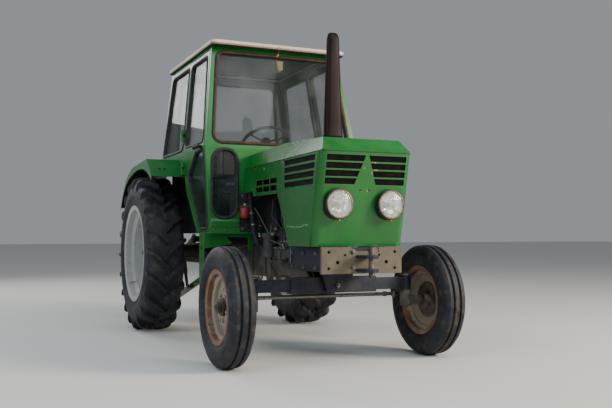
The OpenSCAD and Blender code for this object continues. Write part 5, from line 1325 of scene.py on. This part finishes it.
# %% Hitch and turnbuckles
HITCH_Y, SHAFT_Z = 2465, 612
fit("hitch_pin", STEEL, rod((0, HITCH_Y, 446), (0, HITCH_Y, 596), 15, 24),
    spun([(24, 0), (26, 2), (26, 7), (24, 9)], (0, HITCH_Y, 560.5), UP, 28),
    bent_pipe([(0, HITCH_Y, 590), (0, HITCH_Y, 612), (20, 2468, 628), (44, 2472, 622), (54, 2474, 600),
               (46, 2474, 582)], 5.5, 10), smooth=50)
arc = [math.radians(-20 + 220 * k / 12) for k in range(13)]
guard = [(70 * math.cos(a), SHAFT_Z + 70 * math.sin(a)) for a in arc]
guard += [(68 * math.cos(a), SHAFT_Z + 68 * math.sin(a)) for a in arc[::-1]]
fit("shaft_guard", BLACK, cut_out(guard, 2316, 2400, lambda x, z, y: at(x, y, z)))
splines = [(19 * math.cos(a), 610 + 19 * math.sin(a)) for a in turns(6)]
fit("shaft_splines", STEEL, *[rod((x, 2332, z), (x, 2402, z), 3.4, 8) for x, z in splines],
    spun([(19, 0), (19, 62), (16, 68)], (0, 2334, 610), BEHIND, 30), smooth=40)

turnbuckles = []
for side in (-1, 1):
    start, end = Vector((side * 321, 2316.6, 337.8)), Vector((side * 321, 2496.6, 677.8))
    run = end - start
    sleeve = run.length * 0.34
    turnbuckles.append(spun([(13.2, 0), (18, 0), (18, 14), (15, 16), (20, 20), (21, 26), (21, sleeve - 26),
                             (20, sleeve - 20), (15, sleeve - 16), (18, sleeve - 14), (18, sleeve), (13.2, sleeve),
                             (13.2, 0)], start + run * 0.33, run, 6))
    turnbuckles += [clamp_band(start + run * (0.20 + 0.008 * k), run, 12.9, 1.6, 0.9) for k in range(15)]
fit("lift_rod_turnbuckles", IRON, *turnbuckles, body="lift_rods", smooth=30)

# %% [markdown]
# ## Gearbox, tank and wheels
#
# Flanges are ringed with bolts, the tank is held by straps, and each wheel has a valve and a
# grease cap. The bolts come from the same tree as every other screw.

# %% Flange bolts, brake lines and tank
bell = [math.pi / 7 * k for k in range(-1, 9)]
flange_bolts = [((172 * math.cos(a), 638, 690 + 172 * math.sin(a)), AHEAD) for a in bell]
flange_bolts += both([(160, 1872, z) for z in (520, 590, 660, 720)], AHEAD)
flange_bolts += both([(222, REAR_Y + 103 * math.cos(a), REAR_Z + 103 * math.sin(a)) for a in turns(10)], OUT)
flange_bolts += both([(x, 2316, z) for x, z in ((180, 780), (180, 640), (180, 500), (100, 795))], BEHIND)
flange_bolts += both([(201, y, z) for y, z in ((1930, 780), (1930, 480), (2290, 780))], OUT)
screws("gearbox_bolts", flange_bolts, 9, 8)
PLUG = [(11, 12), (13, 10), (13, 4), (20, 3), (20, 0)]
fit("gearbox_plugs", IRON, spun(PLUG, (150, 1200, 600), OUT, 6), spun(PLUG, (-150, 1500, 560), -OUT, 6),
    spun([(8, 60), (8, 20), (18, 18), (18, 0)], (70, 1000, 785), UP, 16), smooth=40)
BRAKE_LINE = ((120, 900, 792), (178, 1000, 740), (186, 1400, 690), (190, 1850, 640), (232, 1960, 600),
              (300, 2040, 590), (380, 2056, 616))
fit("brake_lines", STEEL, *[bent_pipe([(side * x, y, z) for x, y, z in BRAKE_LINE], 4) for side in (-1, 1)],
    smooth=50)

straps = []
for x0 in (-120, 120):
    loop = [at(x0, y, z) for y, z in rounded_outline([(658, 1124), (658, 1336), (800, 1336), (800, 1124)], 35)]
    straps.append(sweep(loop, OUT, [(0.4, -14), (-1.6, -14), (-1.6, 14), (0.4, 14)]))
    straps.append(rod((x0, 656, 1150), (x0, 646, 1110), 4))
fit("tank_straps", STEEL, *straps, smooth=40)
fit("tank_cap", PLASTIC, spun([(24, 20), (30, 16), (32, 10), (32, 0), (29, -2), (27, -2)],
                              (150, 729, 1357), UP, 12), smooth=30)
fit("cooling_baffle", BLACK, side_sheet([(116, 831), (614, 831), (614, 1034), (116, 1034)], 97, 98.5),
    *[rod((97.5, y, 834), (97.5, y, 1030), 3.5, 8) for y in (277, 453)], smooth=40)

# %% Valves, hub caps and rod ends
FRONT_CAP = [(AXIS, 14), (10, 13), (22, 9), (30, 2), (33.5, -2), (35.4, -4), (35.4, -20), (34.2, -20), (34.2, -1),
             (AXIS, -0.6)]
DUST_PLATE = [(52.5, 0.8), (118, 0.8), (119, 2.4), (118, 4.0), (52.5, 4.0), (52.5, 0.8)]
REAR_CAP = [(14, 22), (16, 20), (16, 12), (40, 10), (54, 6), (60, 0.5)]
NIPPLE = [(AXIS, 12), (4, 11), (4, 5), (8, 4), (8, 0)]
COLLAR = [(33, 0), (36, 1), (36, 9), (33, 10), (31, 10), (31, 0), (33, 0)]


def valve(hub, side, pipe, cap, thin, thick):
    """A valve stem and its cap, from (out, behind, above) places counted from the hub."""
    pipe, cap = [[(hub.x + side * x, hub.y + y, hub.z + z) for x, y, z in places] for places in (pipe, cap)]
    return joined(bent_pipe(pipe, thin), rod(*cap, thick, 10))


for side, name in SIDES:
    front, rear = [1000 * (hub - at(0, 0, 0)) for hub in wheels[name]]
    front.y, rear.y = 0, REAR_Y
    outward = side * OUT
    rim_nuts = [(rear + Vector((side * -3, 306 * math.cos(a), 306 * math.sin(a))), outward) for a in turns(8)]
    stems = (valve(front, side, ((30, 150, -108), (40, 156, -112), (58, 160, -116)),
                   ((57, 160, -116), (66, 161.5, -117.5)), 3.2, 4.6),
             valve(rear, side, ((62, 216, -246), (84, 222, -252), (112, 226, -257)),
                   ((111, 226, -257), (126, 228, -259)), 4, 5.6))
    for piece, finish, wheel, part in (
            ("front_hub_cap_", IRON, "front", spun(FRONT_CAP, front + 61 * outward, outward, 36)),
            ("front_dust_plate_", IRON, "front", spun(DUST_PLATE, front, outward, 48)),
            ("front_valve_", STEEL, "front", stems[0]), ("rear_valve_", STEEL, "rear", stems[1]),
            ("rear_hub_cap_", IRON, "rear", spun(REAR_CAP, rear, outward, 36))):
        fit(piece + name, finish, part, body=f"{wheel}_wheel_{name}", smooth=40)
    screws("rear_rim_bolts_" + name, rim_nuts, 12, 10, body="rear_wheel_" + name)
    fit("kingpin_cap_" + name, STEEL, spun(NIPPLE, (side * KINGPIN_X, 0, 544.8), UP, 8),
        spun(COLLAR, (side * KINGPIN_X, 0, 534), UP, 24), body="knuckle_" + name, smooth=40)
ROD_END = [(8, 10), (13, 8), (13, 0), (19, -2), (21.5, -5)]
fit("tie_rod_ends", IRON, *[spun(ROD_END, (x, 150, 382), -UP, 12) for x in (-KINGPIN_X, KINGPIN_X)],
    *[clamp_band((x, 150, 402), OUT, 13.1, 22, 4) for x in (-470, 470)], body="tie_rod", smooth=40)

# %% [markdown]
# ## Driver's seat
#
# A tractor seat is a pressed steel pan with two foam pads in black vinyl. The cover is pulled
# tight round the pan, so each pad is crowned, and stitched channels keep the foam in place.
# Blender's cloth, blown up from inside, gives that crown; the channels and the piping are
# made afterwards, because the even remesh that cloth needs would erase them.

# %% Vinyl and thread
def worn_vinyl(name, slot):
    f = Finish(name, slot, Specular_IOR_Level=0.4)
    rubbed = f.noise(5.0, 4.0, seed=2.0).between(0.45, 0.75)
    colour = f.mix(rubbed, (0.010, 0.010, 0.011), (0.034, 0.031, 0.028))
    dust = f.facing_up() * f.noise(16.0, 4.0).between(0.45, 0.80) * 0.35
    f.shade("Base Color", f.mix(dust, colour, (0.13, 0.11, 0.08)))
    f.shade("Roughness", rubbed * 0.15 + dust * 0.4 + 0.42)
    grain = f.add("ShaderNodeTexVoronoi", None, {"Vector": f.place, "Scale": 520.0}, out="Distance")
    f.bump(grain + f.noise(9.0, 3.0) * 1.5, 0.35, 0.0007)
    return f.material


VINYL = worn_vinyl("worn black vinyl", "seat_cover")


# %% Cloth that swells
VOXEL, PRESSURE, CAP, STEPS = 0.006, 4.0, 0.024, 20


def swollen(bm, low, high):
    """Blows a pad up, keeps each point within CAP of its start and all of it between two corners."""
    piece = linked("pad", bm)
    remesh = piece.modifiers.new("even", "REMESH")
    remesh.mode, remesh.voxel_size = "VOXEL", VOXEL
    even = evaluated_mesh(piece)
    piece.modifiers.remove(remesh)
    piece.data = even
    start = [v.co.copy() for v in even.vertices]
    cloth = piece.modifiers.new("air", "CLOTH")
    cloth.settings.quality = 5
    cloth.settings.use_pressure = True
    cloth.settings.uniform_pressure_force = PRESSURE
    cloth.settings.effector_weights.gravity = 0.0
    for step in range(STEPS):
        bpy.context.scene.frame_set(step + 1)
    blown = evaluated_mesh(piece)
    piece.modifiers.remove(cloth)
    bpy.context.scene.frame_set(1)
    for v, before in zip(blown.vertices, start):
        move = v.co - before
        v.co = before + (move * (CAP / move.length) if move.length > CAP else move)
    piece.data = blown
    rounder = piece.modifiers.new("finer", "SUBSURF")
    rounder.levels = rounder.render_levels = 1
    smooth = evaluated_mesh(piece)
    bm = bmesh.new()
    bm.from_mesh(smooth)
    bpy.data.objects.remove(piece)
    for v in bm.verts:
        v.co = Vector(min(max(c, a), b) for c, a, b in zip(v.co, low, high))
    return bm


def pressed_in(bm, distance, looks, depth=5.0, width=7.0):
    """Presses a sewn channel in where distance(point) is 0, on faces that look one way."""
    bm.normal_update()
    for v in bm.verts:
        near = math.exp(-(distance(v.co) * 1000 / width) ** 2)
        facing_it = min(1.0, max(0.0, (v.normal.dot(looks) - 0.3) / 0.4))
        v.co -= looks * (depth / 1000 * near * facing_it)


# %% Seat pan, pads and piping
SEAT_X, BEAD_X, CHANNEL_Y = 230, 218, 1905
pan = [(1602, 1160.5), (2059.5, 1160.5), (2059.5, 1604), (2051, 1604), (2051, 1169), (1602, 1169)]
fit("seat_pan", BLACK, side_sheet(pan, -SEAT_X + 8, SEAT_X - 8), nodes=["seat_cushion"], bevel=0.003)

squab = rounded_outline([(1600, 1184), (1603, 1248), (1938, 1232), (1938, 1184)], 22)
squab = swollen(side_sheet(squab, 20 - SEAT_X, SEAT_X - 20),
                at(2 - SEAT_X, 1582, 1170), at(SEAT_X - 2, 1958, 1268))
back = rounded_outline([(1984, 1276), (2006, 1584), (2040, 1590), (2040, 1276)], 15)
back = swollen(side_sheet(back, 22 - SEAT_X, SEAT_X - 22),
               at(2 - SEAT_X, 1964, 1258), at(SEAT_X - 2, 2050, 1608))
for x0 in (-0.110, 0, 0.110):
    pressed_in(squab, lambda p: p.x - x0, UP)
    pressed_in(back, lambda p: p.x - x0, Vector((0, -1, 0.06)).normalized(), 4.0)
pressed_in(squab, lambda p: p.y - at(0, CHANNEL_Y, 0).y, UP, 4.0)
for name, bm, fill in (("seat_squab_pad", squab, 0.7), ("seat_back_pad", back, 0.75)):
    pad = fit(name, VINYL, bm, nodes=["seat_cushion"], smooth=60)
    print(name, len(pad.data.polygons), "faces")

cord = [(4.2 * math.cos(a), 4.2 * math.sin(a)) for a in turns(8)]
round_squab, round_back = [
    rounded_outline([(-BEAD_X, low), (-BEAD_X, high), (BEAD_X, high), (BEAD_X, low)], radius)
    for low, high, radius in ((1594, 1950, 38), (1266, 1598, 34))]
fit("seat_piping", VINYL, sweep([at(x, y, 1175) for x, y in round_squab], UP, cord),
    sweep([at(x, 2046, z) for x, z in round_back], BEHIND, cord), nodes=["seat_cushion"], smooth=60)

# %% [markdown]
# ## Floor, light and camera
#
# The tractor stands in a plain studio. The camera stands low in front of its right side, as
# the photograph was taken; its lens and place come from measuring the photograph.

# %% Stage
def stage_floor():
    bm = bmesh.new()
    bmesh.ops.create_grid(bm, x_segments=1, y_segments=1, size=60)
    floor = linked("floor", bm)
    f = Finish("studio_floor", Roughness=0.8)
    f.shade("Base Color", f.mix(f.noise(0.6, 2.0), (0.60, 0.59, 0.57), (0.64, 0.63, 0.61)))
    floor.data.materials.append(f.material)


def soft_light(name, place, target, size, power, colour=(1, 1, 1)):
    data = bpy.data.lights.new(name, "AREA")
    data.shape, data.size, data.size_y, data.energy, data.color = "RECTANGLE", size, size, power, colour
    lamp = bpy.data.objects.new(name, data)
    lamp.location = place
    lamp.rotation_euler = (Vector(target) - Vector(place)).to_track_quat("-Z", "Y").to_euler()
    bpy.context.scene.collection.objects.link(lamp)


stage_floor()
soft_light("key", (6.5, -7.0, 4.2), (0, -1, 1), 3.0, 1300, (1.0, 0.90, 0.76))
soft_light("fill", (-7.0, -4.0, 4.5), (0, 0, 1), 6.0, 330, (0.74, 0.93, 1.0))
soft_light("rim", (-3.0, 7.0, 5.0), (0, 0, 1), 4.0, 260)
soft_light("sky", (0.5, -6.0, 7.5), (0, -0.6, 1), 5.0, 300, (0.93, 0.97, 1.0))
world = bpy.data.worlds.new("studio")
world.use_nodes = True
background = world.node_tree.nodes["Background"].inputs
background["Color"].default_value, background["Strength"].default_value = (0.80, 0.84, 0.90, 1), 0.36
bpy.context.scene.world = world

# %% Camera
YAW, PITCH, LENS_MM = math.radians(23.689), math.radians(2.158), 46.49
camera_data = bpy.data.cameras.new("camera")
camera_data.lens, camera_data.sensor_width, camera_data.sensor_fit = LENS_MM, 36.0, "HORIZONTAL"
camera_data.clip_end = 200
camera = bpy.data.objects.new("camera", camera_data)
camera.location = at(-2193.9, -4585.8, 810.0)
camera.rotation_euler = (math.pi / 2 + PITCH, 0, -YAW)
bpy.context.scene.collection.objects.link(camera)
bpy.context.scene.camera = camera
